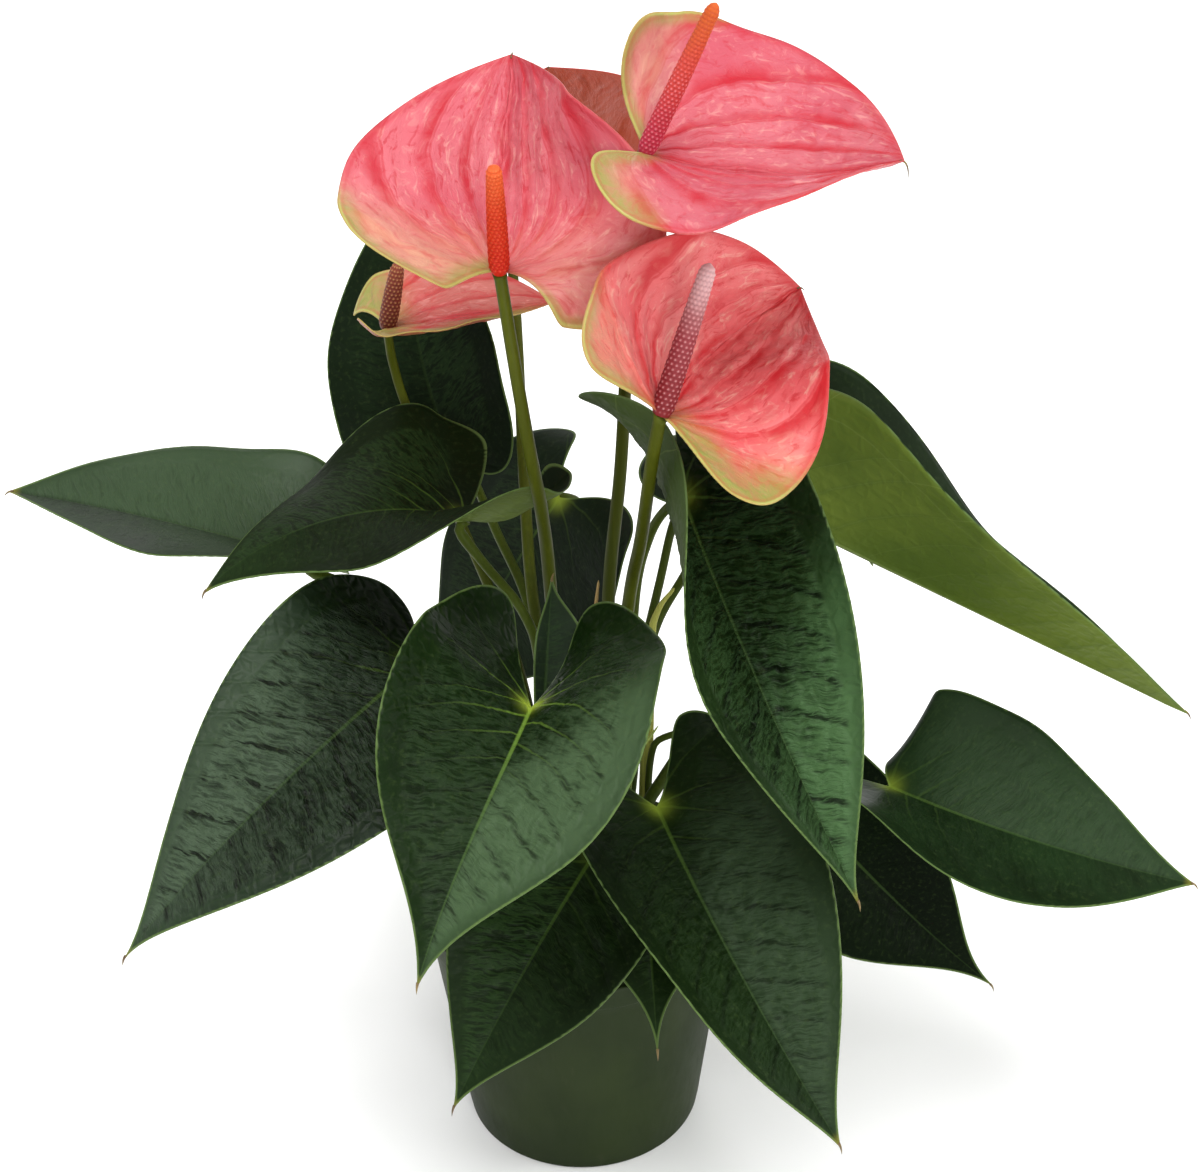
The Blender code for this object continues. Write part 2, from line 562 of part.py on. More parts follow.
def sheath(name, look):
    (base_x, base_y), route, radii = SHEATHS[name]
    bottom = (base_x, base_y, SOIL_LEVEL - HOLE_DEPTH + HOLE_GAP)
    mouth = (base_x, base_y, SOIL_LEVEL + STALK_MOUTH)
    line = smooth_line([mouth] + route, STALK_STEP)
    return tube(name, [bottom] + [tuple(p) for p in line], radii, look)


def spadix(name, shape):
    """Round tapered spike whose florets stand up as staggered points."""
    length, radius, axis = SPADICES[name]
    along, right, up = start_frame(shape)
    start = Vector(np.array(shape["at"]) + up * SPADIX_GAP)
    rings = max(8, round(length / SPADIX_ROW))
    foot = 0.0055
    rows = [foot + (length - foot - 0.003) * i / rings for i in range(rings + 1)]
    profile = [(0.0, 0.0), (0.0009, 0.0), (0.0020, 0.0025)]
    profile += [(radius * (1.0 - SPADIX_TAPER * (i / rings) ** 2), row) for i, row in enumerate(rows)]
    profile += [(radius * 0.45, length - 0.0009), (0.0, length)]
    bm = spun(profile, SPADIX_SIDES)
    for vert in bm.verts:
        ring = round((vert.co.z - foot) * rings / (rows[-1] - foot))
        if foot - 0.0001 < vert.co.z < rows[-1] + 0.0001:
            sector = round(math.atan2(vert.co.y, vert.co.x) * SPADIX_SIDES / (2 * math.pi))
            size = math.hypot(vert.co.x, vert.co.y)
            grown = size + (FLORET_RISE if (ring + sector) % 2 else -FLORET_DIP)
            vert.co.x *= grown / size
            vert.co.y *= grown / size
    bmesh.ops.triangulate(bm, faces=bm.faces, quad_method="SHORT_EDGE")
    turn = Vector(axis).normalized().to_track_quat("Z", "Y").to_matrix()
    for vert in bm.verts:
        vert.co = turn @ vert.co + start
    return add_object(name + "_spadix", mesh_from(bm, name + "_spadix"), SPADIX_COLOURS[name])


def spun(profile, sides):
    """Profile of (radius, height) pairs spun about Z into a closed skin."""
    bm = bmesh.new()
    verts = [bm.verts.new((r, 0, z)) for r, z in profile]
    edges = [bm.edges.new((a, b)) for a, b in zip(verts[:-1], verts[1:])]
    bmesh.ops.spin(bm, geom=verts + edges, cent=(0, 0, 0), axis=(0, 0, 1), angle=2 * math.pi,
                   steps=sides, use_merge=True, use_duplicate=False)
    bmesh.ops.remove_doubles(bm, verts=bm.verts, dist=0.00001)
    return bm


def revolved(name, profile, sides, look):
    return add_object(name, mesh_from(spun(profile, sides), name), look)


def pot_radius(height):
    return POT_BASE_RADIUS + (POT_TOP_RADIUS - POT_BASE_RADIUS) * height / POT_HEIGHT


def make_pot():
    """Tapered pot with a collar that stands out round its top."""
    collar = POT_HEIGHT - RIM_DEPTH
    top = pot_radius(POT_HEIGHT)
    profile = [(0.0, 0.0), (POT_BASE_RADIUS - FOOT_ROUND, 0.0), (POT_BASE_RADIUS, FOOT_ROUND),
               (pot_radius(collar), collar), (pot_radius(collar) + RIM_OUT, collar + LIP_ROUND),
               (top + RIM_OUT, POT_HEIGHT - RIM_ROUND), (top + RIM_OUT - RIM_ROUND, POT_HEIGHT),
               (top - POT_WALL + LIP_ROUND, POT_HEIGHT), (top - POT_WALL, POT_HEIGHT - LIP_ROUND),
               (pot_radius(POT_FLOOR) - POT_WALL, POT_FLOOR), (0.0, POT_FLOOR)]
    return revolved("pot", profile, POT_SIDES, POT_GREEN)


def make_soil():
    """Soil plug with an uneven top and a plain hole for each stalk and for the crown."""
    inner = POT_WALL + SOIL_GAP
    bottom = POT_FLOOR + SOIL_GAP
    profile = [(0.0, bottom), (pot_radius(bottom) - inner, bottom)]
    edge = pot_radius(SOIL_LEVEL) - inner
    profile += [(edge * (1 - i / SOIL_RINGS), SOIL_LEVEL) for i in range(SOIL_RINGS + 1)]
    soil = revolved("soil", profile, POT_SIDES, SOIL_BROWN)
    for vert in soil.data.vertices:
        spot = vert.co
        if spot.z > SOIL_LEVEL - 0.001 and math.hypot(spot.x, spot.y) < edge * 0.97:
            spot.z += SOIL_ROUGHNESS * noise.noise(Vector((spot.x, spot.y, 0.3)) * 160)
    soil.data.update()
    bm = bmesh.new()
    for (base_x, base_y), _, radius in STALKS.values():
        add_hole(bm, base_x, base_y, radius * STALK_FOOT + HOLE_GAP, 8)
    for (base_x, base_y), _, radii in SHEATHS.values():
        add_hole(bm, base_x, base_y, radii[0] * STALK_FOOT + HOLE_GAP, 8)
    add_hole(bm, CROWN_AT[0], CROWN_AT[1], CROWN_RADIUS + HOLE_GAP, CROWN_SIDES)
    cutter = add_object("soil_holes", mesh_from(bm, "soil_holes"), SOIL_BROWN, smooth=False)
    cut = soil.modifiers.new("Holes", "BOOLEAN")
    cut.operation = "DIFFERENCE"
    cut.object = cutter
    apply_modifiers(soil)
    bpy.data.objects.remove(cutter)
    return soil


def add_hole(bm, x, y, radius, sides):
    """Upright cutter from the bottom of a hole to well clear of the soil."""
    made = bmesh.ops.create_cone(bm, cap_ends=True, segments=sides, radius1=radius, radius2=radius,
                                 depth=HOLE_DEPTH + HOLE_CLEAR)
    for vert in made["verts"]:
        vert.co += Vector((x, y, SOIL_LEVEL + (HOLE_CLEAR - HOLE_DEPTH) / 2))


def apply_modifiers(obj):
    mesh = bpy.data.meshes.new_from_object(obj.evaluated_get(bpy.context.evaluated_depsgraph_get()))
    obj.modifiers.clear()
    obj.data = mesh


def make_crown():
    """Short knobbly stem base with a ringed surface."""
    radius = CROWN_RADIUS * CROWN_FOOT
    bottom = SOIL_LEVEL - HOLE_DEPTH + HOLE_GAP
    start = SOIL_LEVEL + CROWN_START
    profile = [(0.0, bottom), (radius, bottom), (radius, start)]
    for i in range(1, CROWN_RINGS):
        share = i / CROWN_RINGS
        bulge = 1.10 if i % 2 else 0.96
        profile.append((radius * bulge * (1 - CROWN_TAPER * share), start + (CROWN_HEIGHT - start) * share))
    profile.append((0.0, CROWN_HEIGHT))
    crown = revolved("crown", profile, CROWN_SIDES, CROWN_BROWN)
    crown.location = (*CROWN_AT, 0)
    return crown


for old in list(bpy.data.objects):
    bpy.data.objects.remove(old)

make_pot()
make_soil()
make_crown()
sheath("sheath_olive", SHEATH_OLIVE)
sheath("sheath_pink", SHEATH_PINK)
sheath("sheath_thin", STALK_GREEN)
sheath("sheath_dry", DRY_GREY)
for leaf, leaf_shape in LEAVES.items():
    across = COLUMNS - 1 if leaf in PLAIN_LEAVES else COLUMNS
    blade(leaf + "_blade", leaf_shape, LEAF_WAVE, LEAF_GREEN, across)
    radii = (STALKS[leaf][2] * STALK_FOOT, STALKS[leaf][2] * STALK_TOP)
    tube(leaf + "_petiole", stalk_points(leaf, leaf_shape), radii, STALK_GREEN)
for bloom, bloom_shape in SPATHES.items():
    blade(bloom + "_spathe", bloom_shape, SPATHE_WAVE, SPATHE_PINK, COLUMNS)
    radii = (STALKS[bloom][2] * STALK_FOOT, STALKS[bloom][2] * STALK_TOP)
    tube(bloom + "_peduncle", stalk_points(bloom, bloom_shape), radii, STALK_GREEN)
    spadix(bloom, bloom_shape)
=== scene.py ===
"""Looks of the potted anthurium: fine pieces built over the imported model, in the same frame.

Lengths are in metres and angles in degrees; the tables of shapes and looks are in millimetres.
The origin is at the middle of the pot's underside, +Z is up and the front of the plant faces -Y.
"""
import json
import math
from functools import partialmethod
from types import SimpleNamespace

import bmesh
import bpy
import numpy as np
from mathutils import Matrix, Vector, noise

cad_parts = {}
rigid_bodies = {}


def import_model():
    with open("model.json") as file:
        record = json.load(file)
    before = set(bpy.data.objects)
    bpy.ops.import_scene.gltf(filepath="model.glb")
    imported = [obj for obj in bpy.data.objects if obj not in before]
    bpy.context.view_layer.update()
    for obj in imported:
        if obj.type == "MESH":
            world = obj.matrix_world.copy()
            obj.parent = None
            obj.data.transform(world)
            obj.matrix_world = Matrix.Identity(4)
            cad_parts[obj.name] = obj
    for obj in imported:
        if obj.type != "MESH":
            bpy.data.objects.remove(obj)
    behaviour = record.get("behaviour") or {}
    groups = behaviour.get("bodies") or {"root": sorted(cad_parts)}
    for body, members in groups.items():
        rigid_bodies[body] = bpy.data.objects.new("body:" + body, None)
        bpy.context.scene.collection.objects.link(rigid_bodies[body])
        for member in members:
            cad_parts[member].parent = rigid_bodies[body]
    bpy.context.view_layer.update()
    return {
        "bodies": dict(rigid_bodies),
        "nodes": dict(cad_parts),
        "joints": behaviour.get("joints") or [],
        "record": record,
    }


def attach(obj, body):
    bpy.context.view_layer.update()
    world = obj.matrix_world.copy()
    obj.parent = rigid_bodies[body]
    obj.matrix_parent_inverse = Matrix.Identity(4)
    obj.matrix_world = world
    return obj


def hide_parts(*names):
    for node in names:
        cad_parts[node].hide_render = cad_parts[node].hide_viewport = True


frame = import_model()

# Pot and soil
POT_HEIGHT = 0.105
POT_TOP_RADIUS = 0.060
POT_BASE_RADIUS = 0.0464
POT_WALL = 0.0015
POT_FLOOR = 0.002
WALL_STEPS, COLLAR_STEPS, INNER_STEPS = 23, 5, 7
RIM_DEPTH = 0.011
RIM_OUT = 0.0022
RIM_ROUND = 0.0008
LIP_ROUND = 0.0006
FOOT_ROUND = 0.0015
FOOT_RISE = 0.0006
POT_SIDES = 144
SOIL_LEVEL = 0.095
SOIL_GAP = 0.0003
SOIL_RINGS, SOIL_SIDES = 60, 150
SOIL_SEED = 11
GRAINS = 150
GRAIN_SIZE = (0.0008, 0.0024)
GRAIN_LUMPS = 0.35
GRAIN_RISE = 0.25
WHITE_SHARE = 0.12
HOLE_DEPTH = 0.012
HOLE_GAP = 0.0006
STALK_CLEAR = 0.0032
# Height, scale and seed of the noises that make the soil's lumps
SOIL_LUMPS = ((0.0010, 160, 0.3), (0.0011, 420, 5.0), (0.0006, 900, 8.0))

# Crown of short stem bases in the middle of the pot
CROWN_AT = (0.005, 0.020)
CROWN_RADIUS = 0.0052
CROWN_FOOT = 0.9
CROWN_TAPER = 0.35
CROWN_HEIGHT = 0.131
CROWN_SCARS, CROWN_SCAR_DEPTH = 5, 0.07
CROWN_LUMPS = 0.08
CROWN_CAP = 0.90
CROWN_LEVELS, CROWN_SIDES = 70, 36

# Blades, stalks and spadices
BLADE_THICKNESS = 0.0008
MARGIN_WIDTH = 0.004
LEAST_CURL = 0.05
SPINE_AHEAD, SPINE_BEHIND = 21, 8
NORMAL_STEP = 0.00012
BORDER_PART = 60
HOOK_ROWS, HOOK_SIDES = 12, 8
HOOK_OVERLAP = 0.0016
SPADIX_GAP = 0.0010
SPADIX_SUNK = 0.0003
SPADIX_SIDES = 72
SPADIX_STEP = 0.00032
SPADIX_WIDTHS = (0.74, 0.86, 0.96, 1.0, 0.985, 0.93, 0.84, 0.72, 0.50, 0.26, 0.02)
FLORETS_AROUND = 13
FLORET_START = 0.003
FLORET_DOME, FLORET_SINK, FLORET_DOT = 0.00042, 0.00022, 0.00010
STALK_SIDES = 14
STALK_STEP = 0.0025
STALK_FOOT = 1.15
STALK_TOP = 0.9
STALK_MOUTH = 0.004
STALK_APPROACH = 0.005
STALK_SET_BACK = 0.001
KNEE_BELOW, KNEE_REACH, KNEE_SWELL = 0.009, 0.006, 0.22
JOIN_REACH, JOIN_SWELL = 0.0015, 0.20
SHEATH_SIDES = 16
SHEATH_STEP = 0.0015
SHEATH_TIP = 0.35
CURVE_POINTS = 100

# Number of waves along a blade and their height at its edge, then where each half's waves start
LEAF_WAVE = (2.4, 0.0013)
SPATHE_WAVE = (2.0, 0.0010)
WAVE_START = (0.4, 1.7)
WAVE_FADE = 0.3
BASE_SHARE = 0.55

# Grids of the fine blades: rows along the midrib, rows round a lobe, columns across a half
LEAF_GRID = (88, 28, 28)
WRINKLED_GRID = (176, 36, 46)
SMALL_GRID = (56, 18, 20)
SPATHE_GRID = (110, 50, 44)
COLUMN_CROWD = 1.35
EDGE_SHARE = 0.45
WRINKLED_LEAVES = ("leaf_front_left", "leaf_right_hanging", "leaf_low_right")
SMALL_LEAVES = ("leaf_right_shadow", "leaf_low_centre", "leaf_young", "leaf_back_right",
                "leaf_back_centre")

# Scale of the noise that makes veins wander
LEAF_WANDER = 90.0
SPATHE_WANDER = 45.0

# Leaf veins: slope and bend of the side veins, their step along the midrib as a share of the
# length, how far the two sides are out of step, and the angle between the veins that fan out
# into the lobes
VEIN_SLOPE = 0.55
VEIN_BEND = 4.5
VEIN_STEP = 0.105
VEIN_ANGLE = math.atan2(1.0, VEIN_SLOPE)
VEIN_OFFSET = 0.38
FAN_STEP = 0.80
FAN_BEND = 8.0
SPATHE_VEINS = 6.4
VEIN_GREEN = (0.13, 0.23, 0.026)
STAR_GREEN = (0.27, 0.36, 0.034)
TIP_BROWN = (0.17, 0.15, 0.022)


def metres(millimetres):
    return np.array(millimetres, float) / 1000


def blade(at, face, size, bend, fold, curl, base_fold, base_curl, plan, end, lift=(0, 0), backs=None):
    """Shape of a leaf blade or spathe; pairs are its right and left half, seen with the tip up.

    at is where it meets its stalk. face is its heading (clockwise from +Y seen from above), the
    slope of the midrib at the stalk and its roll. size is its length and half widths, and bend is
    the droop, swing and twist from stalk to tip. fold lifts a half from the midrib, curl bends it
    further towards its edge, base_fold and base_curl are the same at the stalk, and lift bends a
    lobe up. plan is the place of the widest line, the reach of the lobes and their width, and end
    the reach and width of the tip's curve and the width of the notch, all as shares. backs gives
    each lobe a reach of its own.
    """
    length, *half = metres(size)
    widest, back, lobe = plan
    tip_reach, tip_width, gap = end
    return SimpleNamespace(at=metres(at), face=face, length=length, half=half, bend=bend, fold=fold,
                           curl=curl, base_fold=base_fold, base_curl=base_curl, lift=lift,
                           widest=widest, back=back, lobe=lobe, tip_reach=tip_reach,
                           tip_width=tip_width, gap=gap, backs=backs or (back, back))


LEAVES = {
    "leaf_front": blade((-14, -62, 231), (-172, 13, 26), (115, 49, 50), (95, 6, 23), (8, 12),
        (20, 16), (8, 55), (18, -8), (0.14, 0.38, 0.56), (0.4, 0.15, 0.38), lift=(29, 31)),
    "leaf_front_left": blade((-54, -20, 223), (-153, 7, 22), (155, 48, 46), (75, 21, 10), (2, 7),
        (-15, 0), (-7, 0), (40, 23), (0.16, 0.18, 0.58), (0.21, 0.03, 0.5), lift=(-1, -30),
        backs=(0.18, 0.08)),
    "leaf_left": blade((-37, 30, 252), (-119, 34, 16), (107, 58, 47), (75, 0, 14), (-8, -4),
        (-33, 20), (1, 50), (16, 8), (0.1, 0.14, 0.65), (0.2, 0.15, 0.47), lift=(15, 46),
        backs=(0.14, 0.19)),
    "leaf_far_left": blade((-97, 52, 224), (-87, 20, -1), (115, 46, 45), (5, -7, -5), (15, 12),
        (-6, 4), (23, 25), (15, 18), (0.22, 0.12, 0.45), (0.23, 0.31, 0.25)),
    "leaf_back_left": blade((-46, 100, 249), (-36, 52, 55), (115, 39, 41), (23, 28, -2), (12, 4),
        (10, 1), (12, 12), (10, 10), (0.2, 0.18, 0.45), (0.21, 0.1, 0.25)),
    "leaf_back_centre": blade((-3, 108, 217), (-111, -52, 19), (97, 44, 54), (9, 2, -1), (-1, -2),
        (-1, 0), (-4, 2), (4, 10), (0.22, 0.27, 0.5), (0.21, 0.27, 0.6), lift=(-24, -10),
        backs=(0.23, 0.15)),
    "leaf_right_hanging": blade((40, -12, 282), (164, -28, -23), (154, 47, 46), (43, -8, -12),
        (56, 18), (2, 20), (61, 16), (78, 13), (0.17, 0.29, 0.47), (0.2, 0.08, 0.25),
        lift=(-50, 0)),
    "leaf_far_right": blade((64, 20, 264), (104, -24, 18), (179, 58, 60), (0, 1, -2), (41, 29),
        (-11, -13), (62, 66), (9, 11), (0.14, 0.12, 0.46), (0.2, 0.24, 0.25)),
    "leaf_right_low": blade((117, -10, 155), (133, 2, -17), (118, 45, 46), (28, -30, 5), (14, 3),
        (15, 6), (34, 10), (26, 21), (0.19, 0.24, 0.66), (0.24, 0.23, 0.25), lift=(0, -42),
        backs=(0.24, 0.1)),
    "leaf_right_shadow": blade((91, 50, 105), (132, -33, -49), (113, 38, 36), (32, -5, 1), (14, 17),
        (11, 13), (12, 12), (10, 10), (0.2, 0.28, 0.45), (0.38, 0.1, 0.25)),
    "leaf_low_right": blade((29, -38, 170), (165, -9, -12), (141, 45, 47), (59, -18, -3), (42, 16),
        (13, 11), (30, 0), (18, 4), (0.21, 0.24, 0.48), (0.29, 0.23, 0.65), lift=(-10, 18),
        backs=(0.17, 0.24)),
    "leaf_low_left": blade((8, -27, 144), (-144, -23, 9), (109, 38, 39), (27, 1, -3), (12, 4),
        (10, 6), (12, 12), (10, 10), (0.2, 0.14, 0.45), (0.24, 0.1, 0.25), lift=(-15, -10)),
    "leaf_low_centre": blade((25, -30, 130), (179, -19, 2), (66, 23, 23), (25, -2, 0), (13, 11),
        (10, 9), (0, 12), (10, 10), (0.2, 0.12, 0.35), (0.54, 0.1, 0.25)),
    "leaf_young": blade((-10.5, -8.5, 195), (50, 84, -50), (55.5, 14, 6.5), (-10, 0, 4), (8, 34),
        (14, 16), (30, 40), (18, 18), (0.42, 0.08, 0.42), (0.4, 0.16, 0.3)),
    "leaf_back_right": blade((60, 72, 232), (52, -8, 6), (98, 40, 40), (55, 8, 6), (12, 12),
        (12, 12), (20, 20), (12, 12), (0.18, 0.26, 0.45), (0.3, 0.2, 0.3), lift=(10, 10)),
}

# One entry for each bloom's spathe, in the same terms as the leaves
SPATHES = {
    "bloom_left": blade((-20, 4, 361), (0, 18, 8), (89, 57, 57), (-32, 13, -5), (39, 18), (28, 20),
        (8, 34), (-20, 0), (0.12, 0.24, 0.38), (0.2, 0.6, 0.77), lift=(-29, 7)),
    "bloom_top": blade((29, 14, 397), (96, -17, -6), (87, 59, 59), (-40, 17, -6), (19, 22),
        (-23, 8), (21, 31), (-37, 6), (0.25, 0.2, 0.55), (0.2, 0.6, 0.54), lift=(3, 25)),
    "bloom_right": blade((31, -47, 332), (16, -2, -40), (91, 50, 50), (-40, 17, 5), (37, 35),
        (35, 19), (24, 26), (-24, -4), (0.17, 0.29, 0.61), (0.2, 0.6, 0.72), lift=(-2, -8)),
    "bloom_small": blade((-65, 82, 306), (82, 3, 0), (63, 31, 31), (-5, 6, 2), (16, 16), (11, 12),
        (15, 13), (6, 12), (0.2, 0.27, 0.6), (0.21, 0.45, 1), lift=(23, -22), backs=(0.17, 0.18)),
    "bloom_turned": blade((-20, 140, 326), (146, 60, 25), (83, 42, 63), (4, 8, 5), (0, 15), (5, 14),
        (25, 11), (36, 8), (0.23, 0.3, 0.5), (0.24, 0.56, 0.4), lift=(1, 0), backs=(0.15, 0.3)),
}

# Stalks: where each leaves the soil, points it passes through, its radius
STALKS = {
    "leaf_front": ((-10, -4), [(-13, -4, 155), (-16, -14, 185), (-14, -42, 214)], 1.9),
    "leaf_front_left": ((-20, 3), [(-25, 2, 150), (-40, -10, 195)], 1.9),
    "leaf_left": ((-13, 6), [(-13, 8, 150), (-12, 10, 200), (-17, 14, 221), (-31, 25, 236)], 1.9),
    "leaf_far_left": ((-21, 18), [(-28, 30, 150), (-50, 42, 186), (-82, 51, 211)], 1.9),
    "leaf_back_left": ((-10, 37), [(-11, 44, 160), (-16, 58, 197), (-28, 82, 217), (-38, 104, 232)],
        1.9),
    "leaf_back_centre": ((7, 43), [(9, 70, 140), (10, 102, 185), (6, 116, 206)], 1.9),
    "leaf_right_hanging": ((18, 17), [(21, 16, 170), (24, 13, 228), (29, 8, 255), (35, 0, 271)],
        1.9),
    "leaf_far_right": ((18, 26), [(24, 31, 170), (34, 33, 222), (41, 35, 250), (52, 28, 262)], 1.7),
    "leaf_right_low": ((28, 17), [(29, 20, 147), (36, 20, 160), (60, 16, 162), (95, 4, 143)], 1.3),
    "leaf_right_shadow": ((22, 4), [(25, 5, 132), (34, 10, 148), (50, 40, 150), (62, 72, 128),
        (86, 76, 101)], 2.2),
    "leaf_low_right": ((27, -5), [(30, -10, 135), (31, -18, 152)], 1.9),
    "leaf_low_left": ((-2, -11), [(1, -17, 125)], 1.9),
    "leaf_low_centre": ((15, -14), [(22, -23, 112)], 1.5),
    "leaf_young": ((2, 7), [(-1, 3, 145), (-6, -5, 172)], 1.5),
    "leaf_back_right": ((20, 38), [(26, 45, 150), (32, 46, 190), (44, 52, 212)], 1.8),
    "bloom_left": ((-6, 17), [(-5, 16, 170), (-7, 10, 237), (-9, 0, 272), (-12, -5, 297),
        (-16, -5, 330)], 2.4),
    "bloom_top": ((12, 31), [(13, 31, 170), (15, 30, 224), (20, 30, 274), (24, 24, 345)], 2.4),
    "bloom_right": ((12, 9), [(15, 4, 170), (21, -6, 237), (25, -22, 272), (28, -40, 310)], 2.4),
    "bloom_small": ((-10, 27), [(-20, 50, 170), (-42, 74, 228), (-59, 88, 266), (-64, 87, 288)],
        1.9),
    "bloom_turned": ((0, 30), [(-7, 34, 160), (-14, 46, 207), (-16, 70, 246), (-17, 104, 286),
        (-18, 122, 306)], 2.2),
}

# Leaf sheaths, routed like the stalks, with the radius at each point from the soil up
SHEATHS = {
    "sheath_olive": ((25, 24), [(28, 26, 150), (30, 28, 197), (33, 28, 212), (39, 27, 222)],
        (1.6, 2, 2.6, 2.2, 0.6)),
    "sheath_pink": ((6, 32), [(8, 34, 150), (9, 34, 200), (11, 34, 222)], (1.6, 1.6, 1.8, 0.4)),
    "sheath_thin": ((19, 11), [(20, 10, 140), (24, 10, 158), (32, 10, 172)], (1.4, 1.4, 1.2, 0.3)),
    "sheath_dry": ((6, -3), [(11, -1, 122), (17, -3, 140), (20, -3, 152)], (2, 2.6, 2.4, 1)),
}

# Spadix of each bloom: length, radius, direction of its axis
SPADICES = {
    "bloom_left": (44, 3.4, (0, -0.32, 0.95)),
    "bloom_top": (54, 3.2, (0.42, -0.03, 0.91)),
    "bloom_right": (50, 3.6, (0.32, 0.23, 0.92)),
    "bloom_small": (26, 3.4, (0.22, -0.02, 0.97)),
    "bloom_turned": (42, 3.4, (-0.05, 0.6, 0.8)),
}

# Looks. Colours are linear red, green and blue in thousandths. Leaves: dark, mid, tip are the tones
# of the face, tip also being the colour of the painted sheen and painted crest highlights; pale, margin
# and under_vein those of its veins and edge, lit paints a sheen over one half (lit_side) from lit_from
# on, shade sets the painted shade in creases and the painted highlights on their crests, seams the
# painted shade beside side veins; quilt, cells, wrinkle, rings and drips are sizes. Spathes: lobe_right
# and lobe_left hold the share of cream, the share of green, where the green starts and how deep it
# reaches in from the rim.
LEAF_BASE = dict(quilt=0.18, cells=0, cell=7.5, ring=10.5, dark=(2.2, 6.2, 1.1),
    mid=(5.6, 14.2, 2.7), tip=(24, 54.4, 14.4), tip_share=0.25, pale=(48, 92, 22.4),
    margin=(88, 140, 40), hem=0.8, under=(96, 136, 24), under_dark=(56, 88, 14.4),
    under_vein=(160, 216, 56), gloss=0.4, shine=0.07, bump=0.5, crease=0.6, net=0.25, vein=0.008,
    fan=0.15, rib=0.34, star=0.75, sunk=0.12, lit=0, lit_side=1, lit_from=0, shade=0.3, seams=0,
    wrinkle=0.12, drip=4.5, drip_size=0.55, drip_bend=0.16, seed=1)
LEAF_LOOKS = {
    "leaf_front": dict(quilt=0.35, cells=0.4, wrinkle=0.35, crease=1, bump=0.9, dark=(2.2, 7, 0.9),
        mid=(5.4, 15.6, 2.5), fan=0.6, rib=0.85, star=1, tip=(46, 80, 36), tip_share=0.1, net=0.6,
        shine=0.06, lit=0.75, lit_side=-1, lit_from=0.18, shade=0.65, seams=0.6),
    "leaf_front_left": dict(quilt=0.8, cells=0.45, seams=0.9, shine=0.1, fan=0.25, net=0.6,
        crease=1.6, seed=2, mid=(7.8, 16.6, 6.8), tip=(45, 70, 40), sunk=0.5, vein=0.04,
        wrinkle=0.5, bump=1, lit=0.5, lit_from=0.26, shade=1, tip_share=0.45),
    "leaf_left": dict(quilt=0.1, seed=3, shine=0.04, gloss=0.5, dark=(3, 6.2, 1.4),
        mid=(4.8, 10.2, 2), sunk=0.02, rib=0.3, fan=0.4, wrinkle=0.06),
    "leaf_far_left": dict(quilt=0.1, seed=4, mid=(9.6, 24, 5.6), rib=0.2, fan=0.2, star=0.3,
        sunk=0.04, tip=(36, 62.4, 28.8), tip_share=0, lit=0.75, shine=0.12),
    "leaf_back_left": dict(quilt=0.25, seed=5, dark=(2.2, 5.2, 1.4), mid=(4.2, 9.8, 3), shine=0.04,
        gloss=0.5, rib=0.1, fan=0.06, vein=0, star=0.1, sunk=0.2),
    "leaf_back_centre": dict(quilt=0.16, seed=6, dark=(3.6, 8.4, 3.2), mid=(6.4, 13.2, 5.2)),
    "leaf_right_hanging": dict(quilt=0.45, cells=0.45, net=0.5, crease=1.4, seed=7, seams=0.8,
        dark=(1.6, 4.2, 0.8), mid=(7.2, 18.4, 3.4), tip=(50, 105, 38), tip_share=0.45,
        under=(49.6, 78.4, 16), under_dark=(28.8, 49.6, 9.6), star=0.3, lit=0.75, lit_side=-1,
        lit_from=0.42, wrinkle=0.5, bump=1, fan=0.25, shade=0.75),
    "leaf_far_right": dict(quilt=0.16, seed=8, under=(100, 140, 18), under_dark=(50, 82, 9.2)),
    "leaf_right_low": dict(seed=9, shine=0.04, lit=0.5, lit_side=-1, mid=(7.5, 20, 5.2), star=0.4,
        tip=(26, 48, 20.5)),
    "leaf_right_shadow": dict(quilt=0.22, seed=10, star=0.4, fan=0, shine=0.03, dark=(1.2, 3, 0.8),
        mid=(2.2, 5.8, 1.4), tip=(6, 12, 4)),
    "leaf_low_right": dict(quilt=0.4, cells=0.4, seed=11, star=0.6, seams=0.5, shine=0.05, drip=5,
        wrinkle=0.4, lit=0.45, lit_side=-1, lit_from=0.1, shade=0.55, bump=0.9, tip=(28, 48, 23)),
    "leaf_low_left": dict(quilt=0.3, cells=0.25, seed=12, mid=(8.4, 18.4, 5.2), shade=0.5,
        wrinkle=0.3),
    "leaf_low_centre": dict(seed=13),
    "leaf_young": dict(quilt=0.2, seed=14, dark=(8, 16, 8), mid=(14.4, 24, 12), star=0),
    "leaf_back_right": dict(quilt=0.2, seed=15, drip=0),
}
SPATHE_BASE = dict(quilt=0.75, skin=(480, 74, 104), bright=(530, 126, 150), pale=(610, 290, 260),
    groove=(400, 10.4, 22.2), cream=(518, 274, 178), green=(244, 252, 62.9), lime=(370, 414, 104),
    edge=(333, 66.6, 44.4), streak=0.45, rosy=0.35, rear=0.2, lobe_right=(0.5, 0.6, 0.4, 8),
    lobe_left=(0.5, 0.6, 0.4, 8), under_share=0.55, under_tint=(414, 25.9, 40.7), bump=0.45,
    drip=4.5, drip_size=0.45, drip_bend=0.16, seed=1)
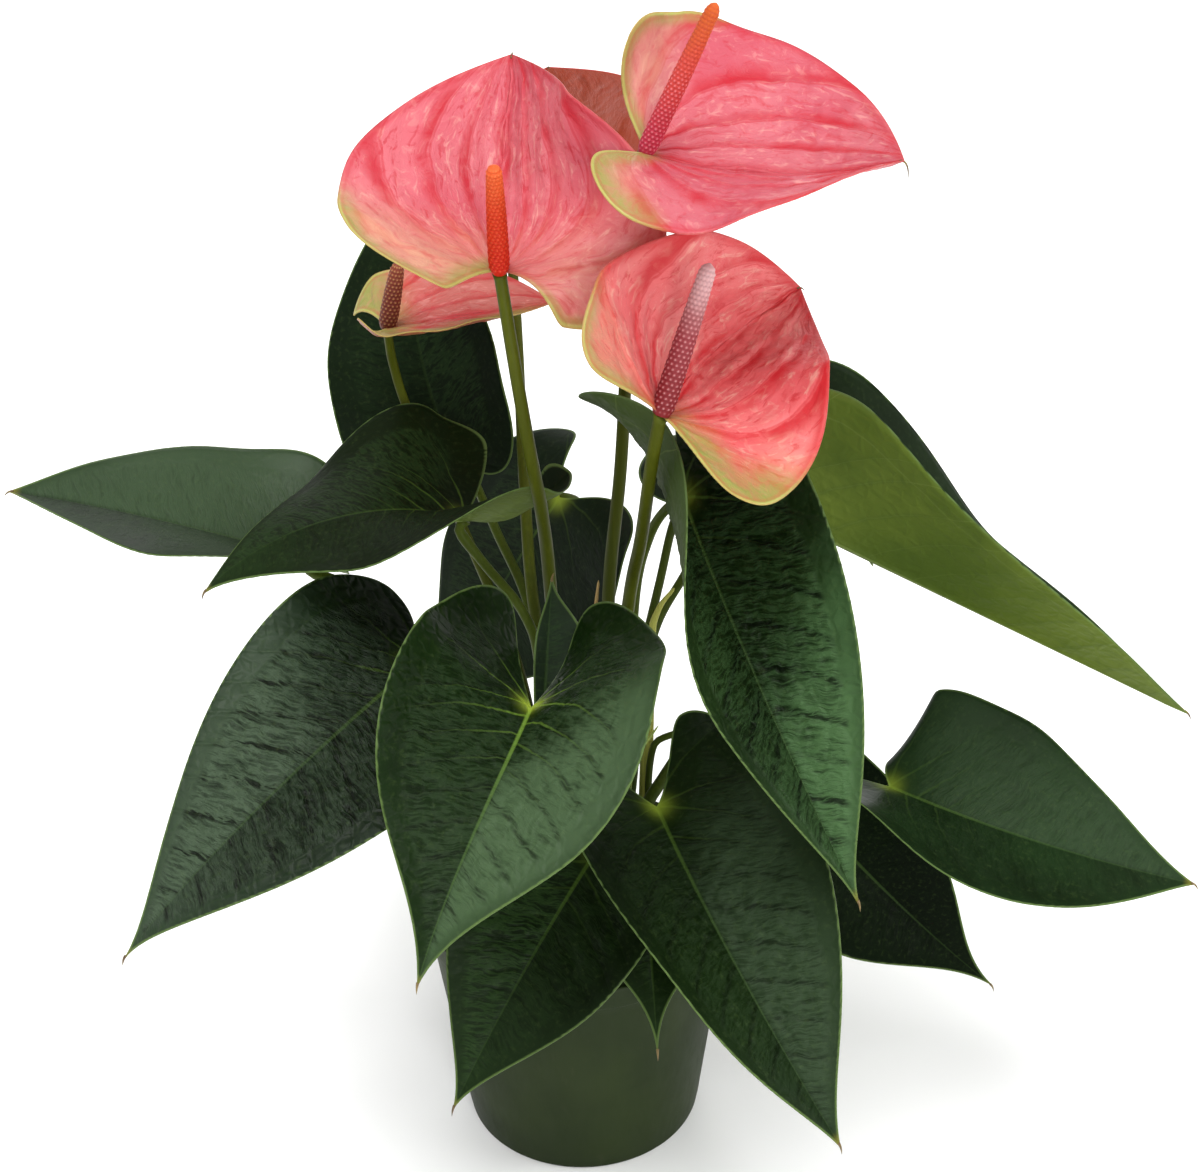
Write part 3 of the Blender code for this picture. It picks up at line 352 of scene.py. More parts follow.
SPATHE_LOOKS = {
    "bloom_left": dict(streak=0.6, lobe_left=(1, 0.9, 1.2, 9), lobe_right=(0.5, 0.8, 0.2, 4),
        rear=1.2),
    "bloom_top": dict(seed=2, skin=(430, 68, 96), bright=(480, 116, 140),
        lobe_left=(0.6, 0.9, 1.2, 6), lobe_right=(0.45, 1, 0.9, 14), drip=8, drip_bend=0.5),
    "bloom_right": dict(seed=3, rosy=0.6, skin=(540, 90, 96), bright=(570, 160, 150),
        pale=(600, 310, 250), cream=(350, 165, 95), groove=(400, 11.5, 16.5), streak=0.65,
        lobe_left=(0.9, 0.7, 0.4, 8), lobe_right=(0.65, 1, 0.75, 22), green=(200, 232, 50)),
    "bloom_small": dict(seed=4, rosy=0.1, skin=(385, 88.8, 74), bright=(444, 133, 111), rear=0.6,
        lobe_left=(0.95, 1, 0.9, 34), lobe_right=(0.95, 1, 3.8, 20)),
    "bloom_turned": dict(seed=5, under_share=0.97, under_tint=(290, 30, 1)),
}
SPADIX_LOOKS = {
    "bloom_left": dict(foot=(490, 15, 5), middle=(540, 33, 8), top=(593, 92, 20),
        seam=(319, 13.7, 6.1), dot=(654, 182, 76), dots=0.4, dots_end=1.2),
    "bloom_top": dict(foot=(430, 30, 64), middle=(510, 52, 40), top=(460, 86, 14),
        seam=(240, 10, 18), dot=(640, 280, 320), dots=0.75, dots_end=0.7),
    "bloom_right": dict(foot=(160, 11, 14), middle=(220, 31, 38), top=(500, 300, 300),
        seam=(91.2, 7.6, 10.6), dot=(502, 258, 258), dots=0.75, dots_end=1.3),
    "bloom_small": dict(foot=(129, 26.6, 16.7), middle=(152, 30.4, 19), top=(198, 41.8, 22.8),
        seam=(57, 9.1, 6.1), dot=(471, 274, 106), dots=0.8, dots_end=1.3),
    "bloom_turned": dict(foot=(395, 41.8, 60.8), middle=(471, 76, 53.2), top=(502, 98.8, 22.8),
        seam=(228, 15.2, 22.8), dot=(608, 380, 319), dots=0.6, dots_end=0.8),
}
SIZE_KEYS = ("quilt", "cells", "cell", "ring", "wrinkle", "drip", "drip_size")


def settings(base, own):
    """Every setting of one look: colours as shares of 1, lengths in metres."""
    look = {**base, **own}
    for key, value in look.items():
        if isinstance(value, tuple) and len(value) == 3:
            look[key] = tuple(tone / 1000 for tone in value)
        elif key in SIZE_KEYS:
            look[key] = value / 1000
    return SimpleNamespace(**look)


def bezier(p0, p1, p2, p3):
    t = np.linspace(0, 1, CURVE_POINTS)[:, None]
    return (1 - t) ** 3 * p0 + 3 * (1 - t) ** 2 * t * p1 + 3 * (1 - t) * t * t * p2 + t ** 3 * p3


def run_lengths(line):
    return np.concatenate([[0], np.cumsum(np.linalg.norm(np.diff(line, axis=0), axis=1))])


def columns_at(where, stations, values):
    """Each column of values, read between its stations."""
    return np.stack([np.interp(where, stations, column) for column in values.T], -1)


def lobe_back(shape, hand):
    """How far a lobe reaches behind the stalk."""
    return shape.backs[hand] * shape.length


def outline(shape, hand, rows_along, rows_lobe):
    """Inner edge (midrib, then the notch), outer edge and whole border of one half, laid flat."""
    length, half = shape.length, shape.half[hand]
    wide_y = shape.widest * length
    back = lobe_back(shape, hand)
    lobe_x = shape.lobe * half
    reach = length - wide_y
    tip, wide, end = np.array([[0.0, length], [half, wide_y], [lobe_x, -back]])
    upper = bezier(tip, np.array([shape.tip_width * half, length - shape.tip_reach * reach]),
                   np.array([half, wide_y + 0.50 * reach]), wide)
    lower = bezier(wide, np.array([half, wide_y - 0.55 * (wide_y + back)]),
                   np.array([lobe_x + 0.55 * (half - lobe_x), -back]), end)
    edge = np.vstack([upper, lower[1:]])
    run = run_lengths(edge)
    facing = np.where((np.arange(len(edge)) >= CURVE_POINTS) & (edge[:, 1] <= -0.35 * back))[0][0]
    along = 0.5 * (1 - np.cos(np.linspace(0, math.pi / 2, rows_along + 1)))
    along += 0.5 * np.linspace(0, 1, rows_along + 1)
    around = 0.5 * np.sin(np.linspace(0, math.pi / 2, rows_lobe + 1))
    around += 0.5 * np.linspace(0, 1, rows_lobe + 1)
    where = np.concatenate([run[facing] * along, run[facing] + (run[-1] - run[facing]) * around[1:]])
    outer = columns_at(where, run, edge)
    rib = np.stack([0 * along, length * (1 - along)], -1)
    notch = bezier(np.array([0.0, 0.0]), np.array([0.3 * shape.gap * half, -0.30 * back]),
                   np.array([shape.gap * lobe_x, -back]), end)
    run = run_lengths(notch)
    inner = np.vstack([rib, columns_at(run[-1] * around[1:], run, notch)])
    return inner, outer, np.vstack([edge, notch[::3]])


def start_frame(shape):
    """Unit vectors at the stalk: along the midrib, to the right half and up from the upper face."""
    heading, rise, roll = (math.radians(angle) for angle in shape.face)
    flat = np.array([math.sin(heading), math.cos(heading), 0.0])
    along = math.cos(rise) * flat + [0.0, 0.0, math.sin(rise)]
    up = -math.sin(rise) * flat + [0.0, 0.0, math.cos(rise)]
    right = np.cross(along, up)
    return (along, math.cos(roll) * right + math.sin(roll) * up,
            math.cos(roll) * up - math.sin(roll) * right)


def turned(vector, axis, angle):
    return (vector * math.cos(angle) + np.cross(axis, vector) * math.sin(angle)
            + axis * np.dot(axis, vector) * (1 - math.cos(angle)))


def walk(stations, rates, place, frame):
    """Carry a frame along the midrib from station to station."""
    found = [(place, *frame)]
    along, right, up = frame
    for first, second in zip(stations[:-1], stations[1:]):
        step = second - first
        spin = -rates[0] * right - rates[1] * up + rates[2] * along
        size = np.linalg.norm(spin)
        ahead = along
        if size > 1e-9:
            axis = spin / size * np.sign(step)
            ahead, right, up = (turned(v, axis, size * abs(step)) for v in (along, right, up))
        place = place + step * (along + ahead) / 2
        along = ahead
        found.append((place, along, right, up))
    return found


def spine(shape):
    """Stations along the midrib, from behind the stalk to the tip, with the frame at each."""
    droop, swing, twist = (math.radians(angle) / shape.length for angle in shape.bend)
    frame = start_frame(shape)
    ahead = np.linspace(0, shape.length, SPINE_AHEAD)
    behind = np.linspace(0, -shape.back * shape.length * 1.02, SPINE_BEHIND)
    forward = walk(ahead, (droop, swing, twist), shape.at, frame)
    rearward = walk(behind, (0.5 * droop, 0.0, 0.0), shape.at, frame)
    found = rearward[::-1][:-1] + forward
    stations = np.concatenate([behind[::-1][:-1], ahead])
    return stations, [np.array([row[i] for row in found]) for i in range(4)]


def placed(shape, flat, hand, wave, line):
    """Bend flat points (distance from the midrib, distance along it) of one half into space."""
    stations, frames = line
    x, y = flat.T
    point, _, right, up = (columns_at(y, stations, rows) for rows in frames)
    half = shape.half[hand]
    near = np.clip(1 - y / (BASE_SHARE * shape.length), 0, 1)
    near = near * near * (3 - 2 * near)
    rear = np.clip(-y / lobe_back(shape, hand), 0, 1)
    fold = shape.fold[hand] + (shape.base_fold[hand] - shape.fold[hand]) * near
    fold = np.radians(fold + shape.lift[hand] * rear * rear)
    curl = shape.curl[hand] + (shape.base_curl[hand] - shape.curl[hand]) * near
    curl = np.radians(np.where(np.abs(curl) < LEAST_CURL, LEAST_CURL, curl)) / half
    end = fold + curl * x
    across = (np.sin(end) - np.sin(fold)) / curl
    height = (np.cos(fold) - np.cos(end)) / curl
    count, size = wave
    ripple = np.sin(2 * math.pi * count * y / shape.length + WAVE_START[hand])
    fade = np.clip((shape.length - y) / (WAVE_FADE * shape.length), 0, 1)
    height = height + size * (x / half) ** 2 * ripple * fade
    return point + (1 - 2 * hand) * across[:, None] * right + height[:, None] * up


def smooth_line(points, step):
    """Evenly spaced points on a smooth curve through the given ones."""
    p = [np.array(q, float) for q in points]
    p = [2 * p[0] - p[1]] + p + [2 * p[-1] - p[-2]]
    dense = []
    for a, b, c, d in zip(p[:-3], p[1:-2], p[2:-1], p[3:]):
        for t in np.linspace(0, 1, 24, endpoint=False):
            dense.append(0.5 * (2 * b + (c - a) * t + (2 * a - 5 * b + 4 * c - d) * t * t
                                + (3 * b - a - 3 * c + d) * t ** 3))
    dense = np.array(dense + [p[-2]])
    run = run_lengths(dense)
    return columns_at(np.linspace(0, run[-1], max(5, round(run[-1] / step)) + 1), run, dense)


def from_hole(foot, route, step):
    """Close points from the bottom of a hole in the soil, through its mouth and along a route."""
    bottom = (*foot, SOIL_LEVEL - HOLE_DEPTH + HOLE_GAP)
    mouth = (*foot, SOIL_LEVEL + STALK_MOUTH)
    return np.vstack([bottom, smooth_line([mouth, *route], step)])


def circle(sides):
    return np.linspace(0, 2 * math.pi, sides, endpoint=False)


def ring_faces(rings, sides):
    """Faces between one ring of points and the next, then a cap on the first and the last ring."""
    faces = []
    for k in range(rings):
        for j in range(sides):
            a, b = k * sides + j, k * sides + (j + 1) % sides
            faces.append([a, b, b + sides, a + sides])
    return faces + [list(range(sides))[::-1], list(range(rings * sides, (rings + 1) * sides))]


def pot_radius(height):
    return POT_BASE_RADIUS + (POT_TOP_RADIUS - POT_BASE_RADIUS) * height / POT_HEIGHT


class Expr:
    """Value socket of a shader tree that is used in sums like a number."""

    def __init__(self, tree, socket):
        self.tree = tree
        self.socket = socket

    def op(self, kind, *others):
        node = self.tree.nodes.new("ShaderNodeMath")
        node.operation = kind
        for value, slot in zip((self,) + others, node.inputs):
            plug(self.tree, value, slot)
        return Expr(self.tree, node.outputs[0])

    __add__ = __radd__ = partialmethod(op, "ADD")
    __mul__ = __rmul__ = partialmethod(op, "MULTIPLY")
    __sub__ = partialmethod(op, "SUBTRACT")
    __rsub__ = partialmethod(op, "MULTIPLY_ADD", -1.0)
    __truediv__ = partialmethod(op, "DIVIDE")
    __abs__ = partialmethod(op, "ABSOLUTE")


def plug(tree, value, slot):
    """Link an Expr to a socket, or set the socket's constant."""
    if isinstance(value, Expr):
        tree.links.new(value.socket, slot)
    elif not hasattr(slot.default_value, "__len__"):
        slot.default_value = value
    elif hasattr(value, "__len__"):
        slot.default_value = tuple(value) + (1.0,) * (len(slot.default_value) - len(value))
    else:
        slot.default_value = [value] * len(slot.default_value)


# The vein patterns below are used for shaders (Expr) and for relief (arrays)
def angle_of(across, along):
    return across.op("ARCTAN2", along) if isinstance(across, Expr) else np.arctan2(across, along)


def above_zero(value):
    return value.op("GREATER_THAN", 0.0) if isinstance(value, Expr) else (value > 0) * 1.0


def from_whole(value):
    """Distance to the nearest whole number, 0 to 0.5."""
    whole = value + 0.5
    return abs((whole.op("FRACT") if isinstance(whole, Expr) else whole % 1.0) - 0.5)


def root(value):
    return value.op("SQRT") if isinstance(value, Expr) else np.sqrt(value)


def leaf_veins(x, y, length):
    """Share of the way to the nearest side vein (0 to 0.5), the distance to it and to the stalk."""
    across = abs(x)
    bent = y - across * across * VEIN_BEND
    start = bent - across * VEIN_SLOPE
    ahead = above_zero(start)
    turn = angle_of(across, bent)
    step = length * VEIN_STEP
    side = above_zero(x) * VEIN_OFFSET
    reach = root(x * x + y * y)
    spread = reach * FAN_BEND + 1.0
    fan = (1.0 - ahead) * ((VEIN_ANGLE - turn) / FAN_STEP) * spread
    share = from_whole(ahead * (start / step) + fan + side * ahead)
    width = ahead * (step * math.sin(VEIN_ANGLE)) + (1.0 - ahead) * (reach * FAN_STEP)
    return share, share * width, reach


def spathe_phase(x, y, length):
    """Count of the arcs from stalk to tip that lie between the midrib and a point."""
    across = abs(x)
    turn = angle_of(across, y) + angle_of(across, length * 1.04 - y)
    return turn * (SPATHE_VEINS / math.pi)


class Look:
    """Material under construction: its node tree, its colour so far and the values it needs."""

    def __init__(self, name):
        self.mat = bpy.data.materials.new(name)
        self.mat.use_nodes = True
        self.tree = self.mat.node_tree
        self.shader = self.tree.nodes["Principled BSDF"]
        self.base = None

    def node(self, kind, out, given, **options):
        """Output of a new node with its options set and its sockets filled."""
        node = self.tree.nodes.new("ShaderNode" + kind)
        for key, value in options.items():
            setattr(node, key, value)
        for key, value in given.items():
            plug(self.tree, value, node.inputs[key])
        return Expr(self.tree, node.outputs[out])

    def attributes(self, *names):
        return [self.node("Attribute", "Fac", {}, attribute_name=name) for name in names]

    def place(self):
        return self.node("TexCoord", "Object", {})

    def flat(self, x, y, seed):
        return self.node("CombineXYZ", 0, {0: x, 1: y, 2: seed})

    def stretched(self, vector, size):
        return self.node("Mapping", 0, {"Vector": vector, "Scale": size})

    def noise(self, vector, scale, detail=2.0, rough=0.5, twist=0.0):
        return self.node("TexNoise", "Fac", {"Vector": vector, "Scale": scale, "Detail": detail,
                                             "Roughness": rough, "Distortion": twist})

    def cells(self, vector, scale):
        """Distance to the edge of irregular cells."""
        return self.node("TexVoronoi", "Distance", {"Vector": vector, "Scale": scale},
                         feature="DISTANCE_TO_EDGE")

    def rise(self, value, low, high, to_low=0.0, to_high=1.0):
        """Smooth step from to_low, where the value is low, to to_high, where it is high."""
        return self.node("MapRange", 0, {"Value": value, "From Min": low, "From Max": high,
                                         "To Min": to_low, "To Max": to_high},
                         interpolation_type="SMOOTHSTEP")

    def fall(self, value, low, high):
        return 1.0 - self.rise(value, low, high)

    def mix(self, share, first, second):
        return self.node("Mix", 2, {0: share, 6: first, 7: second}, data_type="RGBA")

    def coat(self, share, colour):
        """Lay a share of a colour over the colour so far."""
        self.base = self.mix(share, self.base, colour)

    def bump(self, height, distance, strength=1.0):
        normal = self.node("Bump", 0, {"Strength": strength, "Distance": distance, "Height": height})
        plug(self.tree, normal, self.shader.inputs["Normal"])

    def give(self, **values):
        plug(self.tree, self.base, self.shader.inputs["Base Color"])
        for key, value in values.items():
            plug(self.tree, value, self.shader.inputs[key.replace("_", " ")])
        return self.mat


def decay(value, reach):
    return (value * (-1.0 / reach)).op("EXPONENT")


def scaled(colour, factor):
    return tuple(min(1.0, tone * factor) for tone in colour)


def leaf_look(name, shape, look, under):
    """Waxy leaf face: bright veins fan out from the stalk, a fine vein runs inside a pale margin."""
    it = Look(name)
    x, y, rim = it.attributes("flat_x", "flat_y", "rim")
    length = shape.length
    seed = look.seed * 0.37
    plain = it.flat(x, y, seed)
    wander = it.noise(plain, LEAF_WANDER) - 0.5
    across = abs(x)
    share, gap, reach = leaf_veins(x, y + wander * 0.0035, length)
    drift = it.noise(plain, 20.0, 3.0)
    fine = it.noise(plain, 520.0, 3.0, 0.6)
    near = decay(reach * reach, 0.032 ** 2)
    line = it.fall(gap, near * 0.00025 + 0.00006, near * 0.00045 + 0.00034)
    rib_width = it.rise(y, 0.0, length, 0.00085, 0.00022)
    rib = it.fall(across, rib_width * 0.45, rib_width * 1.25) * above_zero(y)
    ring_depth = it.rise(y, 0.1 * length, 1.02 * length, look.ring, 0.0012)
    inner = rim + wander * 0.0025 - ring_depth
    band = it.fall(abs(inner), 0.00012, 0.00045)
    inside = it.rise(inner, -0.0005, 0.003)
    margin = it.fall(rim, 0.00035, 0.0010)
    star = decay(reach * reach, 0.0048 ** 2)
    slant = (y - across * 0.35 + wander * 0.006) * 470.0
    crease = it.noise(it.flat(across * 95.0, slant, seed), 1.0, 4.0, 0.58)
    ridge = 1.0 - abs(crease * 2.0 - 1.0) * 1.6
    net = it.cells(it.flat(x + wander * 0.003, y + wander * 0.004, seed + 3.0), 190.0)
    pucker = it.rise(net, 0.0, 0.30)
    if under:
        it.base = it.mix(it.rise(drift, 0.3, 0.7), look.under_dark, look.under)
        it.coat(it.rise(y, 0.3 * length, length) * 0.5, look.under)
        it.coat(line * 0.30 + band * 0.20, look.under_vein)
        it.coat(it.fall(share, 0.01, 0.09) * inside * 0.40, look.under_dark)
        streak = it.noise(it.flat(across * 420.0, y * 60.0, seed), 1.0, 3.0, 0.6)
        it.coat(it.fall(streak, 0.30, 0.55) * 0.35, look.under_dark)
        it.coat(rib * 0.8, look.under_vein)
        it.coat(margin * 0.6, look.margin)
        it.bump(share * -0.6 + pucker * -0.35 + fine * 0.12, 0.0005, 0.7)
        return it.give(Roughness=it.rise(fine, 0.2, 0.8, 0.45, 0.58), Specular_IOR_Level=0.12)
    it.base = it.mix(it.rise(drift, 0.30, 0.72), look.dark, look.mid)
    it.coat(it.rise(y, 0.45 * length, length) * look.tip_share, look.tip)
    # Painted shade and light: darker beside the side veins, lighter between them, as on quilted cells
    it.coat(it.rise(share, 0.0, 0.5) * 0.25, look.mid)
    # Painted sheen: the tip colour laid over one half from lit_from on
    front = it.rise(y + across * 0.8 + wander * 0.03, look.lit_from * length,
                    (look.lit_from + 0.30) * length)
    lit = it.rise(x * look.lit_side, -0.001, 0.002) * front
    it.coat(lit * look.lit, look.tip)
    # Painted shade: the creases of the wrinkles darkened
    deep = scaled(look.dark, 0.35)
    it.coat(it.fall(ridge, 0.10, 0.80) * inside * look.shade, deep)
    # Painted shade beside the side veins
    it.coat(it.fall(share, 0.02, 0.14) * inside * look.seams, deep)
    # Painted highlights on the crests of the wrinkles, stronger on the half with the painted sheen
    it.coat(it.rise(ridge, 0.70, 0.95) * inside * look.shade * (lit * 0.6 + 0.25), look.tip)
    it.coat(it.rise(fine, 0.5, 0.8) * 0.10, look.margin)
    it.coat(it.fall(rim, 0.0006, 0.005) * 0.35, look.mid)
    tint = it.mix(near * look.star, look.pale, VEIN_GREEN)
    it.coat(line * (near * look.fan + look.vein) + band * look.vein * 1.2, tint)
    it.coat(rib * it.rise(y, 0.0, length, look.rib, look.rib * 0.35), tint)
    it.coat(margin * look.hem, look.margin)
    it.coat(it.rise(y, 0.955 * length, 0.995 * length) * 0.7, TIP_BROWN)
    it.coat(star * look.star, STAR_GREEN)
    it.bump(ridge * (inside * 0.8 + 0.1) * look.crease + pucker * look.net
            + it.rise(share, 0.0, 0.10) * look.sunk + fine * 0.08, 0.0005, look.bump)
    return it.give(Roughness=it.rise(drift, 0.2, 0.8, look.gloss - 0.04, look.gloss + 0.07),
                   Specular_IOR_Level=look.shine)


def spathe_look(name, shape, look, under):
    """Waxy spathe: pleats with painted shade in deep red on the side where each falls to the next vein,
    painted highlights and shade on its streaks and wrinkles, cream to green lobes.
    """
    it = Look(name)
    x, y, rim = it.attributes("flat_x", "flat_y", "rim")
    seed = look.seed * 0.53
    plain = it.flat(x, y, seed)
    wander = it.noise(plain, SPATHE_WANDER, 3.0) - 0.5
    wide = it.noise(plain, 22.0)
    fine = it.noise(plain, 620.0, 3.0, 0.6)
    wrinkle = it.noise(it.flat(x + wander * 0.01, y + wander * 0.01, seed + 2.0), 210.0, 4.0, 0.6, 0.8)
    phase = spathe_phase(x + wander * 0.007, y + wander * 0.007, shape.length)
    saw = (phase + 0.5).op("FRACT")
    vein = it.fall(from_whole(phase), 0.008, 0.035)
    reach = root(x * x + y * y)
    streak = it.noise(it.flat(phase * 5.5, reach * 120.0, seed + 4.0), 1.0, 5.0, 0.62, 0.9)
    pleat_shade = it.rise(saw, 0.50, 0.56) * it.fall(saw, 0.60, 0.95)
    patch = it.rise(it.noise(it.flat(x, y, seed + 7.0), 38.0), 0.42, 0.62)
    heart = decay(reach, 0.010)
    it.base = it.mix(it.rise(wide, 0.32, 0.68), look.skin, look.bright)
    # Painted highlights on the crests and painted shade in the valleys of the streaks and wrinkles, which
    # also raise the bump
    it.coat(it.rise(streak, 0.55, 0.68) * look.streak, look.pale)
    it.coat(it.fall(streak, 0.34, 0.46) * look.streak, look.groove)
    it.coat(it.rise(wrinkle, 0.56, 0.70) * 0.30, look.pale)
    it.coat(it.fall(wrinkle, 0.32, 0.42) * 0.35, look.groove)
    # Painted shade: deep red, patchy, on the falling side of each pleat
    it.coat(pleat_shade * (patch * 0.50 + 0.45), look.groove)
    it.coat(vein * 0.55 + heart * 0.45, look.groove)
    it.coat(it.fall(rim + wander * 0.002, 0.0010, 0.0048) * look.rosy, look.groove)
    back = shape.back * shape.length
    for lobe, sign in ((look.lobe_right, 1.0), (look.lobe_left, -1.0)):
        cream, green, green_from, green_depth = lobe
        mine = it.rise(x * sign, -0.004, 0.006)
        rear = it.rise(y + wander * 0.014 + reach * -0.15, look.rear * back, -0.9 * back)
        it.coat(mine * rear * cream * it.rise(streak, 0.30, 0.62, 0.45, 1.0), look.cream)
        edge = it.rise(y + wander * 0.01, green_from * back, (green_from - 1.2) * back)
        edge = edge * it.fall(rim + wander * 0.003, 0.0010, green_depth / 1000)
        it.coat(mine * edge * green * it.rise(wrinkle, 0.34, 0.60, 0.60, 1.0), look.green)
        it.coat(mine * edge * it.fall(rim, 0.0003, 0.0014) * green, look.lime)
    it.coat(it.fall(rim, 0.0002, 0.0008) * 0.40, look.edge)
    it.coat(it.fall(abs(rim - 0.0017), 0.0002, 0.0010) * 0.22, look.groove)
    if under:
        it.coat(look.under_share, look.under_tint)
    it.bump(it.rise(saw, 0.0, 0.5) * 0.5 + it.rise(saw, 0.5, 0.62, 0.5, 0.0) + wrinkle * 0.7
            + streak * 1.1 + fine * 0.05, 0.0010, look.bump)
    return it.give(Roughness=it.rise(fine, 0.2, 0.8, 0.34, 0.44), Specular_IOR_Level=0.20,
                   Subsurface_Weight=0.10, Subsurface_Radius=(0.003, 0.0012, 0.001), Subsurface_Scale=1.0)


def stalk_look(name, low, high):
    """Smooth green stem with fine long streaks and darker flecks."""
    it = Look(name)
    place = it.place()
    long = it.noise(it.stretched(place, (1.0, 1.0, 0.06)), 700.0)
    patch = it.noise(place, 45.0, 3.0)
    fleck = it.noise(place, 1500.0)
    [share] = it.attributes("along")
    it.base = it.mix(it.rise(share + patch * 0.4, 0.2, 1.2), low, high)
    it.coat(it.rise(long, 0.45, 0.75) * 0.30, scaled(high, 1.5))
    it.coat(it.rise(fleck, 0.58, 0.75) * 0.25, scaled(low, 0.45))
    it.bump(long * 0.5 + fleck * 0.25, 0.0003, 0.5)
    return it.give(Roughness=it.rise(patch, 0.2, 0.8, 0.45, 0.55), Specular_IOR_Level=0.10)


def fibre_look(name, dark, light):
    """Dry fibrous skin with long streaks."""
    it = Look(name)
    place = it.place()
    long = it.noise(it.stretched(place, (1.0, 1.0, 0.08)), 900.0, 4.0, 0.6)
    patch = it.noise(place, 120.0, 3.0)
    it.base = it.mix(it.rise(long, 0.35, 0.65), dark, light)
    it.coat(it.rise(patch, 0.5, 0.8) * 0.4, scaled(dark, 0.5))
    it.bump(long, 0.0006, 0.7)
    return it.give(Roughness=0.75)


def spadix_look(name, look):
    """Beaded spike: colour runs from foot to tip, each floret has a pale dot on its crest, partly its own
    colour and partly a painted highlight.
    """
    it = Look(name)
    share, dot, dip = it.attributes("along", "dot", "dip")
    place = it.place()
    level = share + (it.noise(place, 260.0) - 0.5) * 0.12
    it.base = it.mix(it.rise(level, 0.05, 0.55), look.foot, look.middle)
    it.coat(it.rise(level, 0.50, 0.98), look.top)
    it.coat(dip * 0.65, look.seam)
    # Pale dot on each floret's crest, partly the floret's own colour and partly a painted highlight
    it.coat(dot * it.rise(level, look.dots_end, look.dots_end - 0.25) * look.dots, look.dot)
    it.bump(it.noise(place, 2600.0), 0.0002, 0.4)
    return it.give(Roughness=0.50, Specular_IOR_Level=0.15, Subsurface_Weight=0.06,
                   Subsurface_Radius=(0.003, 0.0015, 0.001), Subsurface_Scale=1.0)


def pot_look():
    it = Look("pot_plastic")
    place = it.place()
    patch = it.noise(place, 30.0, 3.0)
    grain = it.noise(place, 2400.0)
    dust = it.noise(it.stretched(place, (1.0, 1.0, 0.3)), 160.0, 4.0, 0.65)
    it.base = it.mix(it.rise(patch, 0.3, 0.7), (0.0100, 0.0180, 0.0033), (0.0150, 0.0248, 0.0050))
    it.coat(it.rise(dust, 0.55, 0.85) * 0.25, (0.0525, 0.0560, 0.0350))
    it.bump(grain * 0.5 + dust * 0.5, 0.00015, 0.35)
    return it.give(Roughness=it.rise(dust, 0.3, 0.8, 0.46, 0.58), Specular_IOR_Level=0.10)


def soil_look():
    it = Look("soil_mix")
    place = it.place()
    clod = it.noise(place, 260.0, 5.0, 0.65)
    fibre = it.noise(it.stretched(place, (1.0, 0.25, 1.0)), 900.0, 3.0, 0.6)
    it.base = it.mix(it.rise(clod, 0.35, 0.70), (0.012, 0.008, 0.005), (0.060, 0.038, 0.022))
    it.coat(it.rise(fibre, 0.60, 0.80) * 0.5, (0.14, 0.095, 0.055))
    it.bump(clod * 0.7 + fibre * 0.3, 0.0012, 0.8)
    return it.give(Roughness=0.92, Specular_IOR_Level=0.25)


def grain_look(name, dark, light):
    it = Look(name)
    spot = it.noise(it.place(), 900.0, 3.0, 0.6)
    it.base = it.mix(it.rise(spot, 0.3, 0.7), dark, light)
    it.bump(spot, 0.0004, 0.6)
    return it.give(Roughness=0.85)


def new_mesh(name, verts, faces, attributes, mats, indices=None):
    """Closed mesh with faces pointing out, smooth shading and float attributes on its points."""
    mesh = bpy.data.meshes.new(name)
    mesh.from_pydata([tuple(v) for v in verts], [], faces)
    for key, values in attributes.items():
        data = mesh.attributes.new(key, "FLOAT", "POINT").data
        data.foreach_set("value", np.asarray(values, np.float32))
    for mat in mats:
        mesh.materials.append(mat)
    if indices is not None:
        mesh.polygons.foreach_set("material_index", np.asarray(indices, np.int32))
    mesh.polygons.foreach_set("use_smooth", np.ones(len(mesh.polygons), bool))
    bm = bmesh.new()
    bm.from_mesh(mesh)
    bmesh.ops.recalc_face_normals(bm, faces=bm.faces)
    bm.to_mesh(mesh)
    bm.free()
    obj = bpy.data.objects.new(name, mesh)
    bpy.context.scene.collection.objects.link(obj)
    return obj


def dress(obj, slot, *nodes):
    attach(obj, "root")
    if nodes:
        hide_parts(*nodes)
    return obj


def noise_at(points, scale, seed):
    return np.array([noise.noise(Vector((p[0] * scale, p[1] * scale, seed))) for p in points])


def bulges(points, size, seed):
    """0 on the seams of irregular cells, 1 inside them."""
    out = []
    for x, y in points:
        near = noise.voronoi(Vector((x / size, y / size, seed)))[0]
        out.append(min(1.0, (near[1] - near[0]) / 0.5))
    return np.array(out)


def share_of(value, whole=1.0):
    """Share of the whole, kept between 0 and 1."""
    return np.clip(value / whole, 0, 1)


def hump(distance, width):
    """1 at no distance, soon 0 beyond the width."""
    return np.exp(-(distance / width) ** 2)


